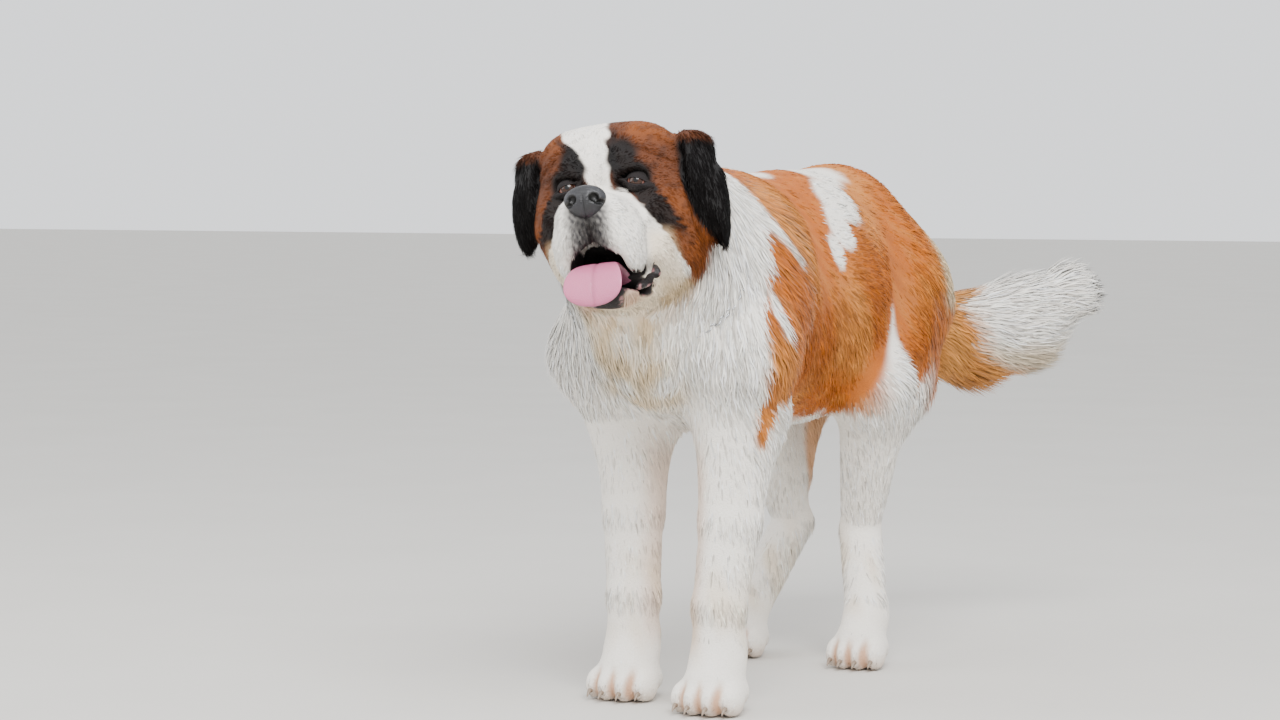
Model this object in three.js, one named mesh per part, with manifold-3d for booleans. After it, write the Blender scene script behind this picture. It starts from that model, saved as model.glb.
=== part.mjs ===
// A Saint Bernard, standing on four feet with its mouth open and its tail raised, at life size.
// Millimetres. +Z is up, the dog faces -Y, and its left side is +X. The ground is z = 0.
// Each body part is a set of rounded masses, blended together, with a skin wrapped round them.
import * as THREE from "three";
import { mergeVertices } from "three/addons/utils/BufferGeometryUtils.js";
import Module from "manifold-3d";

const wasm = await Module();
wasm.setup();

// Driving dimensions.
const withersHeight = 775;
const elbowHeight = withersHeight * 0.55;
const hockHeight = 208;
const chestDepth = 372;
const chestShare = 0.82; // chest width over its depth
const rumpY = 350;
const withersY = -200;
const skullWidth = 200;
const skullLength = 224;
const eyeSpread = 46; // from the middle line to each eye
const eyeRadius = 12.5;
const footLength = 126;
const gap = 0.8; // clearance between neighbouring pieces

// How the head is held: where the point between the eyes is, and its turns in degrees.
const headPlace = new THREE.Vector3(6, -560, 752);
const headTurn = { yaw: 13, pitch: -12, roll: -8 };
const headFrame = new THREE.Matrix4()
  .makeRotationZ(THREE.MathUtils.degToRad(headTurn.yaw))
  .multiply(new THREE.Matrix4().makeRotationX(THREE.MathUtils.degToRad(headTurn.pitch)))
  .multiply(new THREE.Matrix4().makeRotationY(THREE.MathUtils.degToRad(headTurn.roll)))
  .setPosition(headPlace);
const toHead = headFrame.clone().invert();

// Where each foot stands, and the joints above it.
const feet = {
  foreleg_left: { side: 1, x: 77, y: -350 },
  foreleg_right: { side: -1, x: -91, y: -290 },
  hindleg_left: { side: 1, x: 96, y: 135, hockX: 60, hockY: 215 },
  hindleg_right: { side: -1, x: -122, y: 165, hockX: -72, hockY: 252 },
};

const mix = (a, b, t) => a + (b - a) * t;

// A limb mass: a rod between two points, thick r1 and r2 at its ends, and wide times as broad as deep.
function limb(from, r1, to, r2, wide = 1, blend = 30) {
  const a = new THREE.Vector3(...from);
  const d = new THREE.Vector3(...to).sub(a);
  const scale = 1 / wide;
  const start = new THREE.Vector3(a.x * scale, a.y, a.z);
  const along = new THREE.Vector3(d.x * scale, d.y, d.z);
  const length2 = along.lengthSq();
  const q = new THREE.Vector3();
  const distance = (p) => {
    q.set(p.x * scale, p.y, p.z).sub(start);
    const t = THREE.MathUtils.clamp(q.dot(along) / length2, 0, 1);
    return (q.addScaledVector(along, -t).length() - mix(r1, r2, t)) * Math.min(1, wide);
  };
  return { distance, blend };
}

// A ball mass: an ellipsoid of three half sizes.
function ball(centre, half, blend = 20) {
  const c = new THREE.Vector3(...centre);
  const q = new THREE.Vector3();
  const distance = (p) => {
    q.copy(p).sub(c);
    const near = Math.hypot(q.x / half[0], q.y / half[1], q.z / half[2]);
    const slope = Math.hypot(q.x / half[0] ** 2, q.y / half[1] ** 2, q.z / half[2] ** 2) + 1e-9;
    return (near * (near - 1)) / slope;
  };
  return { distance, blend };
}

// The same masses on both sides of the middle line.
const mirrored = (make) => [make(1), make(-1)];

// Blends masses into one field: negative inside, zero on the surface.
function blended(masses) {
  return (p) => {
    let d = masses[0].distance(p);
    for (const mass of masses.slice(1)) {
      const e = mass.distance(p);
      const h = Math.max(mass.blend * 1.5 - Math.abs(d - e), 0) / (mass.blend * 1.5);
      d = Math.min(d, e) - (h * h * mass.blend * 1.5) / 4;
    }
    return d;
  };
}

// A field that is given in the head's own frame, seen from the dog's frame.
function inHeadFrame(field) {
  const q = new THREE.Vector3();
  return (p) => field(q.copy(p).applyMatrix4(toHead));
}
const headPoint = (x, y, z) => new THREE.Vector3(x, y, z).applyMatrix4(headFrame);
const headWay = (x, y, z) => new THREE.Vector3(x, y, z).transformDirection(headFrame);

// The outward direction of a field at a point.
function outward(field, p) {
  const step = 0.5;
  const n = new THREE.Vector3();
  for (const axis of ["x", "y", "z"]) {
    const a = p.clone();
    const b = p.clone();
    a[axis] += step;
    b[axis] -= step;
    n[axis] = field(a) - field(b);
  }
  return n.normalize();
}

// The point where a ray from inside a field leaves it, or grow beyond it.
function surfacePoint(field, origin, way, grow = 0) {
  const p = origin.clone();
  for (let step = 0; step < 60; step += 1) {
    const d = field(p) - grow;
    if (d > -0.01) break;
    p.addScaledVector(way, Math.max(-d * 0.8, 0.01));
  }
  return p;
}

// Wraps a closed skin round a field. Each ring of a sphere's grid starts from its own place on an
// axis curve and its points move out to the surface. The sphere's ends become the skin's ends.
function wrap(field, axis, sides, rings, grow = 0, lateral = new THREE.Vector3(1, 0, 0)) {
  const curve = new THREE.CatmullRomCurve3(axis.map((p) => new THREE.Vector3(...p)));
  const shell = new THREE.SphereGeometry(1, sides, rings, Math.PI / 2);
  const at = shell.getAttribute("position");
  const endShare = 0.5; // share of the sphere's turn that rounds the two ends
  const v = new THREE.Vector3();
  for (let i = 0; i < at.count; i += 1) {
    v.fromBufferAttribute(at, i);
    const turn = Math.acos(THREE.MathUtils.clamp(v.y, -1, 1)) / Math.PI;
    const t = THREE.MathUtils.clamp((turn - endShare / 2) / (1 - endShare), 0, 1);
    const lean = turn < endShare / 2 ? turn / endShare - 0.5 : Math.max(0, (turn - 1) / endShare + 0.5);
    const tangent = curve.getTangent(t);
    const across = lateral.clone().addScaledVector(tangent, -lateral.dot(tangent)).normalize();
    const over = across.clone().cross(tangent);
    const spin = Math.atan2(v.z, v.x);
    const way = across
      .multiplyScalar(Math.cos(spin))
      .addScaledVector(over, -Math.sin(spin))
      .multiplyScalar(Math.cos(lean * Math.PI))
      .addScaledVector(tangent, Math.sin(lean * Math.PI))
      .normalize();
    const p = surfacePoint(field, curve.getPoint(t), way, grow);
    at.setXYZ(i, p.x, p.y, p.z);
  }
  return shell;
}

// A three.js geometry as a solid, its shared vertices merged.
function solid(geometry) {
  const bare = new THREE.BufferGeometry();
  bare.setAttribute("position", geometry.getAttribute("position").clone());
  if (geometry.index) bare.setIndex(geometry.index.clone());
  const merged = mergeVertices(bare, 1e-3);
  const corners = merged.index.array;
  const kept = [];
  for (let i = 0; i < corners.length; i += 3) {
    const [a, b, c] = corners.slice(i, i + 3);
    if (a !== b && b !== c && c !== a) kept.push(a, b, c);
  }
  const made = new wasm.Manifold(
    new wasm.Mesh({
      numProp: 3,
      vertProperties: merged.getAttribute("position").array,
      triVerts: new Uint32Array(kept),
    }),
  );
  if (made.volume() > 0) return made;
  for (let i = 0; i < kept.length; i += 3) [kept[i + 1], kept[i + 2]] = [kept[i + 2], kept[i + 1]];
  return new wasm.Manifold(
    new wasm.Mesh({
      numProp: 3,
      vertProperties: merged.getAttribute("position").array,
      triVerts: new Uint32Array(kept),
    }),
  );
}
const joined = (solids) => solids.reduce((a, b) => a.add(b));
const cut = (from, ...tools) => tools.reduce((a, b) => a.subtract(b), from);
const largest = (made) => made.decompose().sort((a, b) => b.volume() - a.volume())[0];

// Torso: chest, loin, back, croup, forechest and shoulders.
const chestRadius = chestDepth / 2;
// Shoulder and elbow of the standing left side and of the right side, which trails a little.
const shoulders = {
  1: { x: 112, y: withersY - 118, elbowX: 96, elbowY: withersY - 82 },
  "-1": { x: -128, y: withersY - 110, elbowX: -110, elbowY: withersY - 35 },
};
const torsoField = blended([
  limb([0, withersY + 10, 570], chestRadius * 1.01, [0, 60, 566], chestRadius, chestShare, 26),
  limb([0, 60, 578], 174, [0, 230, 620], 134, 0.9, 30),
  limb([0, withersY + 30, 676], 80, [0, 230, 686], 80, 1, 40),
  limb([0, 230, 655], 112, [0, rumpY, 620], 92, 1, 40),
  limb([0, withersY - 50, 575], 150, [-4, withersY - 140, 545], 116, 1.06, 40),
  ...Object.values(shoulders).map((j) => limb([j.x * 0.58, withersY + 10, 664], 60, [j.x, j.y, 510], 68, 1, 34)),
  ...Object.values(shoulders).map((j) => limb([j.x, j.y, 510], 66, [j.elbowX, j.elbowY, elbowHeight], 60, 1, 34)),
]);
const torsoAxis = [
  [0, -290, 560],
  [0, -180, 585],
  [0, 40, 600],
  [0, 220, 640],
  [0, 340, 630],
];

// Neck, from the shoulders to behind the ears, with the thick ruff below it.
const neckField = blended([
  limb([0, -240, 632], 138, [-6, -400, 718], 110, 1, 40),
  limb([-6, -320, 590], 110, [-8, -440, 650], 92, 1.34, 40),
]);
const neckAxis = [
  [0, -230, 635],
  [-3, -320, 650],
  [-6, -420, 700],
];

// Skull, brows, cheeks and muzzle, in the head's own frame: x to the left, y to the back.
const headField = blended([
  ball([0, skullLength * 0.41, 20], [skullWidth / 2, skullLength / 2, 82], 20),
  ball([0, 40, 40], [72, 50, 44], 20),
  limb([0, 20, -54], 40, [0, -72, -58], 35, 1.45, 14),
  ...mirrored((s) => ball([s * 45, 8, 20], [28, 22, 15], 12)),
  ...mirrored((s) => ball([s * 68, 72, -36], [47, 78, 64], 20)),
  ...mirrored((s) => ball([s * 62, 50, -96], [38, 60, 40], 16)),
  ...mirrored((s) => ball([s * 24, -78, -80], [27, 26, 36], 8)),
  ...mirrored((s) => ball([s * 46, -34, -98], [28, 50, 42], 10)),
]);
const headAxis = [
  [0, 130, 0],
  [0, 60, -20],
  [0, -58, -62],
];
const jawField = blended([
  limb([0, 60, -124], 40, [0, -40, -152], 26, 1.7, 10),
  limb([0, -30, -149], 24, [0, -64, -156], 16, 2, 10),
]);
const jawAxis = [
  [0, 62, -124],
  [0, 0, -140],
  [0, -58, -155],
];
const tongueField = blended([
  limb([4, 20, -122], 12, [4, -66, -128], 11, 2.6, 6),
  limb([4, -66, -128], 11, [6, -98, -148], 10, 3.2, 6),
  limb([6, -98, -148], 10, [6, -104, -172], 9, 3.5, 6),
]);
const tongueAxis = [
  [4, 14, -122],
  [4, -66, -128],
  [6, -97, -148],
  [6, -103, -170],
];
const noseField = blended([
  ball([0, -102, -42], [29, 17, 19], 6),
  ball([0, -96, -58], [12, 16, 16], 6),
]);
const earField = (s) =>
  blended([
    ball([s * 102, 92, 58], [30, 36, 20], 14),
    ball([s * 110, 72, 12], [13, 26, 52], 14),
    ball([s * 124, 96, 4], [15, 30, 60], 16),
    ball([s * 134, 108, -36], [12, 24, 62], 12),
  ]);
const earAxis = (s) => [
  [s * 106, 94, 58],
  [s * 121, 92, 6],
  [s * 132, 106, -66],
];

// A skin round a field that is given in the head's own frame. The wrap is made there and moved.
function headSkin(field, axis, sides, rings, lateral) {
  return (grow) => {
    const shell = wrap(field, axis, sides, rings, grow, lateral);
    shell.applyMatrix4(headFrame);
    return solid(shell);
  };
}
const bodySkin = (field, axis, sides, rings, lateral) => (grow) => solid(wrap(field, axis, sides, rings, grow, lateral));

// A closed ball in the head's frame, of three half sizes.
function headBall(centre, half, sides = 14, grow = 0) {
  const shape = new THREE.SphereGeometry(1, sides, Math.round(sides * 0.7));
  shape.scale(half[0] + grow, half[1] + grow, half[2] + grow);
  shape.translate(...centre);
  shape.applyMatrix4(headFrame);
  return solid(shape);
}

// How far forward the face lies at a place across the head and up it.
function faceAt(x, z) {
  const p = surfacePoint(headField, new THREE.Vector3(x, 60, z), new THREE.Vector3(0, -1, 0));
  return p.y;
}

const torsoSkin = bodySkin(torsoField, torsoAxis, 20, 17);
const neckSkin = bodySkin(neckField, neckAxis, 20, 11);
const skullSkin = headSkin(headField, headAxis, 24, 23);
const jawSkin = headSkin(jawField, jawAxis, 14, 11);
const tongueSkin = headSkin(tongueField, tongueAxis, 10, 14);
const noseSkin = headSkin(noseField, [[0, -99, -38], [0, -98, -48], [0, -96, -58]], 12, 9);
const earSkin = { 1: headSkin(earField(1), earAxis(1), 12, 12), "-1": headSkin(earField(-1), earAxis(-1), 12, 12) };

// Legs. Each has its own masses and ends inside its foot.
function forelegShape({ side, x, y }) {
  const elbow = [shoulders[side].elbowX * 0.96, shoulders[side].elbowY - 8, elbowHeight];
  const middle = [(elbow[0] + x) / 2, (elbow[1] + y) / 2 + 6, 270];
  const masses = [
    limb(elbow, 60, middle, 45, 1, 24),
    limb(middle, 45, [x, y + 20, 150], 38, 1, 16),
    limb([x, y + 20, 150], 40, [x, y + 12, 75], 39, 1, 16),
  ];
  const axis = [elbow, middle, [x, y + 20, 150], [x, y + 12, 75]];
  return bodySkin(blended(masses), axis, 12, 16);
}
function hindlegShape({ side, x, y, hockX, hockY }) {
  const stifle = [side * 118, y + 5, 440];
  const masses = [
    limb([side * 90, 290, 580], 114, stifle, 74, 0.68, 30),
    limb([side * 80, 345, 560], 76, [side * 84, 300, 440], 56, 0.9, 40),
    limb([side * 84, 300, 440], 56, [hockX * 1.1, hockY + 20, 290], 36, 0.9, 40),
    limb(stifle, 62, [hockX, hockY, hockHeight], 34, 1, 24),
    limb([hockX, hockY, hockHeight], 36, [x, y + 25, 75], 33, 1, 16),
  ];
  const axis = [[side * 90, 290, 570], stifle, [hockX, hockY, hockHeight], [x, y + 25, 75]];
  return bodySkin(blended(masses), axis, 16, 22);
}

// A foot: four toes round a pad, cut flat where it stands. Each toe ends in a claw.
const ground = new THREE.BoxGeometry(3000, 3000, 400);
ground.translate(0, 0, -200);
function footShape({ side, x, y }, width, length) {
  const toes = [-0.36, -0.13, 0.13, 0.36].map((across, i) => {
    const reach = i === 1 || i === 2 ? 0.34 : 0.24;
    return { x: x + across * width, y: y + 8 - reach * length, size: width * 0.16 };
  });
  const masses = [
    limb([x, y + 22, 92], width * 0.34, [x, y - 4, 44], width * 0.4, 1, 20),
    ball([x, y + 6, 28], [width * 0.44, length * 0.42, 30], 14),
    ...toes.map((toe) => ball([toe.x, toe.y, 23], [toe.size, length * 0.22, 25], 5)),
  ];
  const skin = bodySkin(blended(masses), [[x, y + 24, 86], [x, y + 4, 50], [x, y - 6, 34]], 20, 11);
  return (grow) => {
    const foot = skin(grow);
    if (grow > 0) return foot;
    const claws = toes.map((toe) => {
      const claw = new THREE.ConeGeometry(4.5, 22, 5, 1);
      claw.rotateX(-Math.PI / 2 - 2.5);
      claw.translate(toe.x, toe.y - length * 0.22 - 2, 11);
      return solid(claw);
    });
    return largest(cut(joined([foot, ...claws]), solid(ground)));
  };
}

// Tail: one field for its whole length, parted into three pieces by planes across it.
const tailPath = new THREE.CatmullRomCurve3(
  [
    [0, 372, 632],
    [6, 440, 560],
    [34, 505, 508],
    [92, 575, 494],
    [158, 622, 514],
    [226, 650, 558],
  ].map((p) => new THREE.Vector3(...p)),
);
function tailPiece(from, to, r1, r2) {
  const points = [0, 0.5, 1].map((t) => tailPath.getPoint(mix(from, to, t)));
  const masses = [0, 1].map((i) =>
    limb(points[i].toArray(), mix(r1, r2, i / 2), points[i + 1].toArray(), mix(r1, r2, (i + 1) / 2), 1, 20),
  );
  return bodySkin(blended(masses), points.map((p) => p.toArray()), 14, 10);
}

// Collar: a chain laid round the lower neck, in a plane that drops to the front.
const collarCentre = new THREE.Vector3(-4, -350, 640);
const collarDrop = new THREE.Vector3(0, -90, -130).normalize();
const collarSpan = new THREE.Vector3(1, 0, 0);
const collarBase = (p) => Math.min(neckField(p), torsoField(p));
function collarPoints(count) {
  const points = [];
  for (let i = 0; i < count; i += 1) {
    const turn = (i / count) * 2 * Math.PI;
    const way = collarSpan.clone().multiplyScalar(Math.cos(turn)).addScaledVector(collarDrop, Math.sin(turn));
    points.push(surfacePoint(collarBase, collarCentre, way).addScaledVector(way, -1.5));
  }
  return points;
}
function collarShape(radius, sides) {
  const path = new THREE.CatmullRomCurve3(collarPoints(24), true);
  return solid(new THREE.TubeGeometry(path, 36, radius, sides, true));
}

const group = new THREE.Group();
function addNode(name, made, colour, roughness = 0.85, metalness = 0) {
  const mesh = made.getMesh();
  const geometry = new THREE.BufferGeometry();
  const points = new Float32Array(mesh.numVert * 3);
  for (let i = 0; i < mesh.numVert; i += 1) {
    points.set(mesh.vertProperties.subarray(i * mesh.numProp, i * mesh.numProp + 3), i * 3);
  }
  geometry.setAttribute("position", new THREE.BufferAttribute(points, 3));
  geometry.setIndex(new THREE.BufferAttribute(mesh.triVerts, 1));
  const material = new THREE.MeshStandardMaterial({ color: colour, roughness, metalness });
  const node = new THREE.Mesh(geometry, material);
  node.name = name;
  group.add(node);
}

// Head: eyes sunk behind lids, mouth opened between the flews, and room for nose, tongue and jaw.
const eyes = { 1: null, "-1": null };
let skull = skullSkin(0);
for (const s of [1, -1]) {
  const at = [s * eyeSpread, faceAt(s * eyeSpread, 0) + eyeRadius * 0.7, 0];
  eyes[s] = headBall(at, [eyeRadius, eyeRadius, eyeRadius], 12);
  const lids = headBall(at, [eyeRadius + 3, eyeRadius + 3, eyeRadius + 3], 14);
  const opening = headBall([at[0], at[1] - eyeRadius, -1], [11.5, 10, 7], 10);
  const socket = headBall(at, [eyeRadius + gap, eyeRadius + gap, eyeRadius + gap], 12);
  skull = cut(skull.add(lids), opening, socket);
}
const tongue = cut(tongueSkin(0), skullSkin(gap));
const mouth = headBall([0, -38, -122], [33, 62, 34], 12);
const openHead = largest(cut(skull, mouth, tongueSkin(gap), jawSkin(gap), noseSkin(gap)));
const nostrils = [1, -1].map((s) => headBall([s * 13, -117, -41], [6.5, 9, 5.5], 8));
const nostrilSlits = [1, -1].map((s) => headBall([s * 21, -112, -47], [9, 7, 3], 8));
const nose = largest(cut(noseSkin(0), ...nostrils, ...nostrilSlits));
const jaw = largest(cut(jawSkin(0), tongueSkin(gap)));

addNode("head", openHead, 0xb06a35);
addNode("lower_jaw", jaw, 0xd9c9b4);
addNode("tongue", largest(tongueSkin(0)), 0xc98a9a, 0.45);
addNode("nose", nose, 0x3b3a3e, 0.4);
for (const [s, name] of [[1, "left"], [-1, "right"]]) {
  addNode(`eye_${name}`, eyes[s], 0x3a2415, 0.1);
  const cup = headBall([s * 112, 92, -40], [13, 22, 52], 8);
  addNode(`ear_${name}`, largest(cut(earSkin[s](0), cup, skullSkin(gap), jawSkin(gap))), 0x2c2421);
}

// Neighbours are cut back from each other by grown copies, so that a thin gap stays between them.
const chain = collarShape(3, 5);
const chainGrown = collarShape(4, 5);
const torsoGrown = torsoSkin(gap);
const headGrown = [skullSkin(gap), jawSkin(gap), earSkin[1](gap), earSkin[-1](gap)];
addNode("neck", largest(cut(neckSkin(0), torsoGrown, ...headGrown, chainGrown)), 0xeeeae0);
addNode("torso", largest(cut(torsoSkin(0), chainGrown)), 0xc06a22);
addNode("collar", chain, 0x9a9da0, 0.3, 1);

const footSizes = {
  foreleg_left: [108, footLength],
  foreleg_right: [108, footLength],
  hindleg_left: [94, footLength * 0.92],
  hindleg_right: [94, footLength * 0.92],
};
const hindGrown = [];
for (const [name, place] of Object.entries(feet)) {
  const foot = footShape(place, ...footSizes[name]);
  const leg = (place.hockX ? hindlegShape : forelegShape)(place);
  const colour = place.hockX ? 0xc87a35 : 0xf0ece4;
  addNode(name, largest(cut(leg(0), torsoGrown, foot(gap))), colour);
  addNode(name.replace("leg", "paw"), foot(0), 0xf4efe6);
  if (place.hockX) hindGrown.push(leg(gap));
}

const tailParts = [
  { name: "tail_base", colour: 0xc9813a, skin: tailPiece(0, 0.4, 44, 76) },
  { name: "tail_middle", colour: 0xe6c79c, skin: tailPiece(0.4, 0.72, 78, 86) },
  { name: "tail_tip", colour: 0xf6f1e8, skin: tailPiece(0.72, 1, 86, 66) },
];
const before = [torsoGrown, ...hindGrown];
for (const part of tailParts) {
  addNode(part.name, largest(cut(part.skin(0), ...before)), part.colour);
  before.push(part.skin(gap));
}

// The ground plane stays at z = 0, and the box of the whole dog is centred over the origin.
const box = new THREE.Box3().setFromObject(group);
for (const node of group.children) {
  node.geometry.translate(-(box.min.x + box.max.x) / 2, -(box.min.y + box.max.y) / 2, -box.min.z);
}

export default group;
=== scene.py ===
import math

import bmesh
import bpy
import numpy as np
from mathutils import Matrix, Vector


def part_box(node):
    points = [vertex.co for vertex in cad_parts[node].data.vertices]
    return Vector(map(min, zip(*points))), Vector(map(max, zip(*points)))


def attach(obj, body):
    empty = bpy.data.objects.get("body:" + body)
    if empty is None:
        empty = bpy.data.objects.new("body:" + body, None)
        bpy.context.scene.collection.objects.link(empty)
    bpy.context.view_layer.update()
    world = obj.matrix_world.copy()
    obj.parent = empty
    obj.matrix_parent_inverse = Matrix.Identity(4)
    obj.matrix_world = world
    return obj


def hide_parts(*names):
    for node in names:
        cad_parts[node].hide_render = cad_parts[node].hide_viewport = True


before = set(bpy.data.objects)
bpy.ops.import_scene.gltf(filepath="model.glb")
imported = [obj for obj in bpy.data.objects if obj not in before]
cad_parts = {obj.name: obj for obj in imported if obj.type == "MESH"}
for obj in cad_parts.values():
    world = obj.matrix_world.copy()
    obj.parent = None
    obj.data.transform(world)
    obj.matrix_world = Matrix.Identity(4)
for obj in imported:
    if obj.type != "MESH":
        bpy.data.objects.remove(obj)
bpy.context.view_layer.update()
random = np.random.default_rng(21)


# v / |v|.
def unit(v):
    return v / np.maximum(np.linalg.norm(v, axis=-1, keepdims=True), 1e-9)


# 0 below low, 1 above high, and 3t^2 - 2t^3 between, t being the share of the way up.
def smooth(x, low, high):
    t = np.clip((x - low) / (high - low), 0, 1)
    return t * t * (3 - 2 * t)


# The smaller of a and b, rounded where they meet over a width k: min - h^2 k / 4, where
# h = max(k - |a - b|, 0) / k.
def smoothMin(a, b, k):
    h = np.maximum(k - np.abs(a - b), 0) / k
    return np.minimum(a, b) - h * h * k / 4


# The larger one, rounded in the same way.
def smoothMax(a, b, k):
    return -smoothMin(-a, -b, k)


# The matrix of a turn round one axis.
def turn(axis, degrees):
    c, s = math.cos(math.radians(degrees)), math.sin(math.radians(degrees))
    rows = {
        "x": [[1, 0, 0], [0, c, -s], [0, s, c]],
        "y": [[c, 0, s], [0, 1, 0], [-s, 0, c]],
        "z": [[c, -s, 0], [s, c, 0], [0, 0, 1]],
    }
    return np.array(rows[axis])


# Smooth noise, mostly from -1 to 1: six sine waves in seeded directions, added up and over 3.2.
def sineNoise(p, size, seed=0):
    waves = np.random.default_rng(seed)
    total = 0
    for _ in range(6):
        way = unit(waves.normal(size=3)) * 2 * math.pi / size * waves.uniform(0.6, 1.4)
        total = total + np.sin(p @ way + waves.uniform(0, 6.3))
    return total / 3.2


# How the head is held: where the origin of its own frame is, and its turns in degrees.
headPose = {"place": (6, -560, 752), "yaw": 13, "pitch": -12, "roll": -8}
headTurn = turn("z", headPose["yaw"]) @ turn("x", headPose["pitch"]) @ turn("y", headPose["roll"])


# Into the head's own frame: what p is off the place, turned back.
def toHead(p):
    return (p - np.array(headPose["place"])) @ headTurn


# Out of it again: the place, and p turned.
def fromHead(p):
    return np.asarray(p) @ headTurn.T + np.array(headPose["place"])


# The body is a table of masses, in two kinds of row.
# A limb is a rod from one point to another: (x, y, z, radius, x, y, z, radius, wide, blend).
# A ball is an ellipsoid: (x, y, z, half x, half y, half z, blend).

# A limb's field: how far p is from the rod's nearest point, at a share t of its length, less the
# radius there, r1 + t (r2 - r1). x is over wide first, so that wide flattens or widens the rod.
def limbDistance(p, row):
    a, r1, b, r2, wide = np.array(row[:3]), row[3], np.array(row[4:7]), row[7], row[8]
    scale = np.array([1 / wide, 1, 1])
    q, along = (p - a) * scale, (b - a) * scale
    t = np.clip(q @ along / (along @ along), 0, 1)
    return (np.linalg.norm(q - t[..., None] * along, axis=-1) - (r1 + t * (r2 - r1))) * min(1, wide)


# A ball's field, near enough a distance: k (k - 1) / |q / half^2|, where k = |q / half|.
def ballDistance(p, row):
    q, half = p - np.array(row[:3]), np.array(row[3:6])
    near = np.linalg.norm(q / half, axis=-1)
    return near * (near - 1) / (np.linalg.norm(q / half**2, axis=-1) + 1e-9)


# Folds the masses into one field with smoothMin, each over one and a half times its blend.
def blended(rows, p):
    total = None
    for row in rows:
        d = limbDistance(p, row) if len(row) == 10 else ballDistance(p, row)
        total = d if total is None else smoothMin(total, d, row[-1] * 1.5)
    return total


# The rows and their mirror images across x = 0.
def bothSides(rows):
    flipped = []
    for row in rows:
        row = list(row)
        row[0] = -row[0]
        if len(row) == 10:
            row[4] = -row[4]
        flipped.append(row)
    return list(rows) + flipped


trunk = [
    (0, -190, 570, 188, 0, 60, 566, 186, 0.82, 26),
    (0, 60, 578, 174, 0, 230, 620, 134, 0.9, 30),
    (0, -170, 676, 80, 0, 230, 686, 80, 1.0, 40),
    (0, 230, 655, 112, 0, 350, 620, 92, 1.0, 40),
    (0, -250, 575, 150, -4, -340, 545, 116, 1.06, 40),
    (65, -190, 664, 60, 112, -318, 510, 68, 1.0, 34),
    (-74, -190, 664, 60, -128, -310, 510, 68, 1.0, 34),
    (112, -318, 510, 66, 96, -282, 426, 60, 1.0, 34),
    (-130, -310, 510, 70, -116, -238, 420, 66, 1.0, 34),
    (0, -240, 632, 138, -6, -400, 718, 110, 1.0, 40),
    (-6, -320, 590, 110, -8, -440, 650, 92, 1.34, 40),
    (88, -318, 480, 58, 80, -312, 300, 28, 1.0, 30),
    (-104, -286, 480, 58, -96, -258, 300, 28, 1.0, 30),
]
skull = [
    (0, 92, 20, 100, 112, 82, 20),
    (0, 40, 40, 72, 50, 44, 20),
    (0, 20, -54, 40, 0, -72, -58, 35, 1.45, 14),
] + bothSides(
    [
        (45, 8, 20, 28, 22, 15, 12),
        (54, 76, 55, 42, 64, 36, 20),
        (68, 72, -36, 46, 78, 64, 20),
        (58, 58, -92, 35, 58, 40, 14),
        (24, -78, -80, 26, 26, 38, 8),
        (44, -38, -96, 20, 46, 42, 10),
    ]
)
jaw = [
    (0, 60, -130, 36, 0, -40, -161, 20, 1.75, 10),
    (0, -20, -158, 20, 0, -62, -166, 15, 2.3, 8),
]
noseRows = [(0, -102, -42, 29, 17, 19, 6), (0, -97, -55, 20, 15, 14, 6)]
earRoot = [(104, 92, 62, 32, 36, 21, 14), (114, 70, 12, 14, 28, 52, 14), (130, 90, 4, 17, 30, 60, 16)]
ears = bothSides(earRoot) + [(144, 96, -32, 13, 26, 56, 12), (-138, 96, -14, 13, 26, 46, 12)]
# The rolled edge of the lower lip, from the mouth's corner to the chin, for the dog's left side.
lipRows = [
    (66, -4, -121, 4, 67, -12, -134, 7, 1.0, 4),
    (67, -12, -134, 7, 56, -36, -155, 8, 1.0, 4),
    (56, -36, -155, 8, 32, -62, -167, 8, 1.0, 4),
    (32, -62, -167, 8, 0, -72, -171, 7, 1.0, 4),
]
feet = {
    "foreleg_left": {"side": 1, "x": 77, "y": -350, "width": 108, "length": 126},
    "foreleg_right": {"side": -1, "x": -91, "y": -290, "width": 108, "length": 126},
    "hindleg_left": {"side": 1, "x": 96, "y": 135, "hock": (60, 215), "width": 94, "length": 116},
    "hindleg_right": {"side": -1, "x": -122, "y": 165, "hock": (-72, 252), "width": 94, "length": 116},
}


# A leg's rods, from the trunk down to the foot. A hind leg bends at its hock.
def legRows(foot):
    side, x, y = foot["side"], foot["x"], foot["y"]
    if "hock" in foot:
        hx, hy = foot["hock"]
        return [
            (side * 90, 290, 580, 114, side * 118, y + 5, 440, 74, 0.68, 30),
            (side * 80, 345, 560, 76, side * 84, 300, 440, 56, 0.9, 40),
            (side * 84, 300, 440, 56, hx * 1.1, hy + 20, 290, 36, 0.9, 40),
            (side * 118, y + 5, 440, 62, hx, hy, 208, 34, 1.0, 24),
            (hx, hy, 208, 37, x, y + 25, 75, 36, 1.0, 4),
        ]
    ex, ey = (92, -290) if side > 0 else (-106, -243)
    mx, my = (ex + x) / 2, (ey + y) / 2 + 6
    return [
        (ex, ey, 426, 60, mx, my, 270, 48, 1.0, 24),
        (mx, my, 270, 48, x, y + 16, 150, 42, 1.0, 8),
        (x, y + 16, 150, 42, x, y + 12, 75, 41, 1.0, 8),
    ]


# The middle of each of the four toes, from the outside in.
def footToes(foot):
    return [
        (foot["x"] + across * foot["width"], foot["y"] + 8 - reach * foot["length"])
        for across, reach in ((-0.36, 0.24), (-0.13, 0.34), (0.13, 0.34), (0.36, 0.24))
    ]


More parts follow.
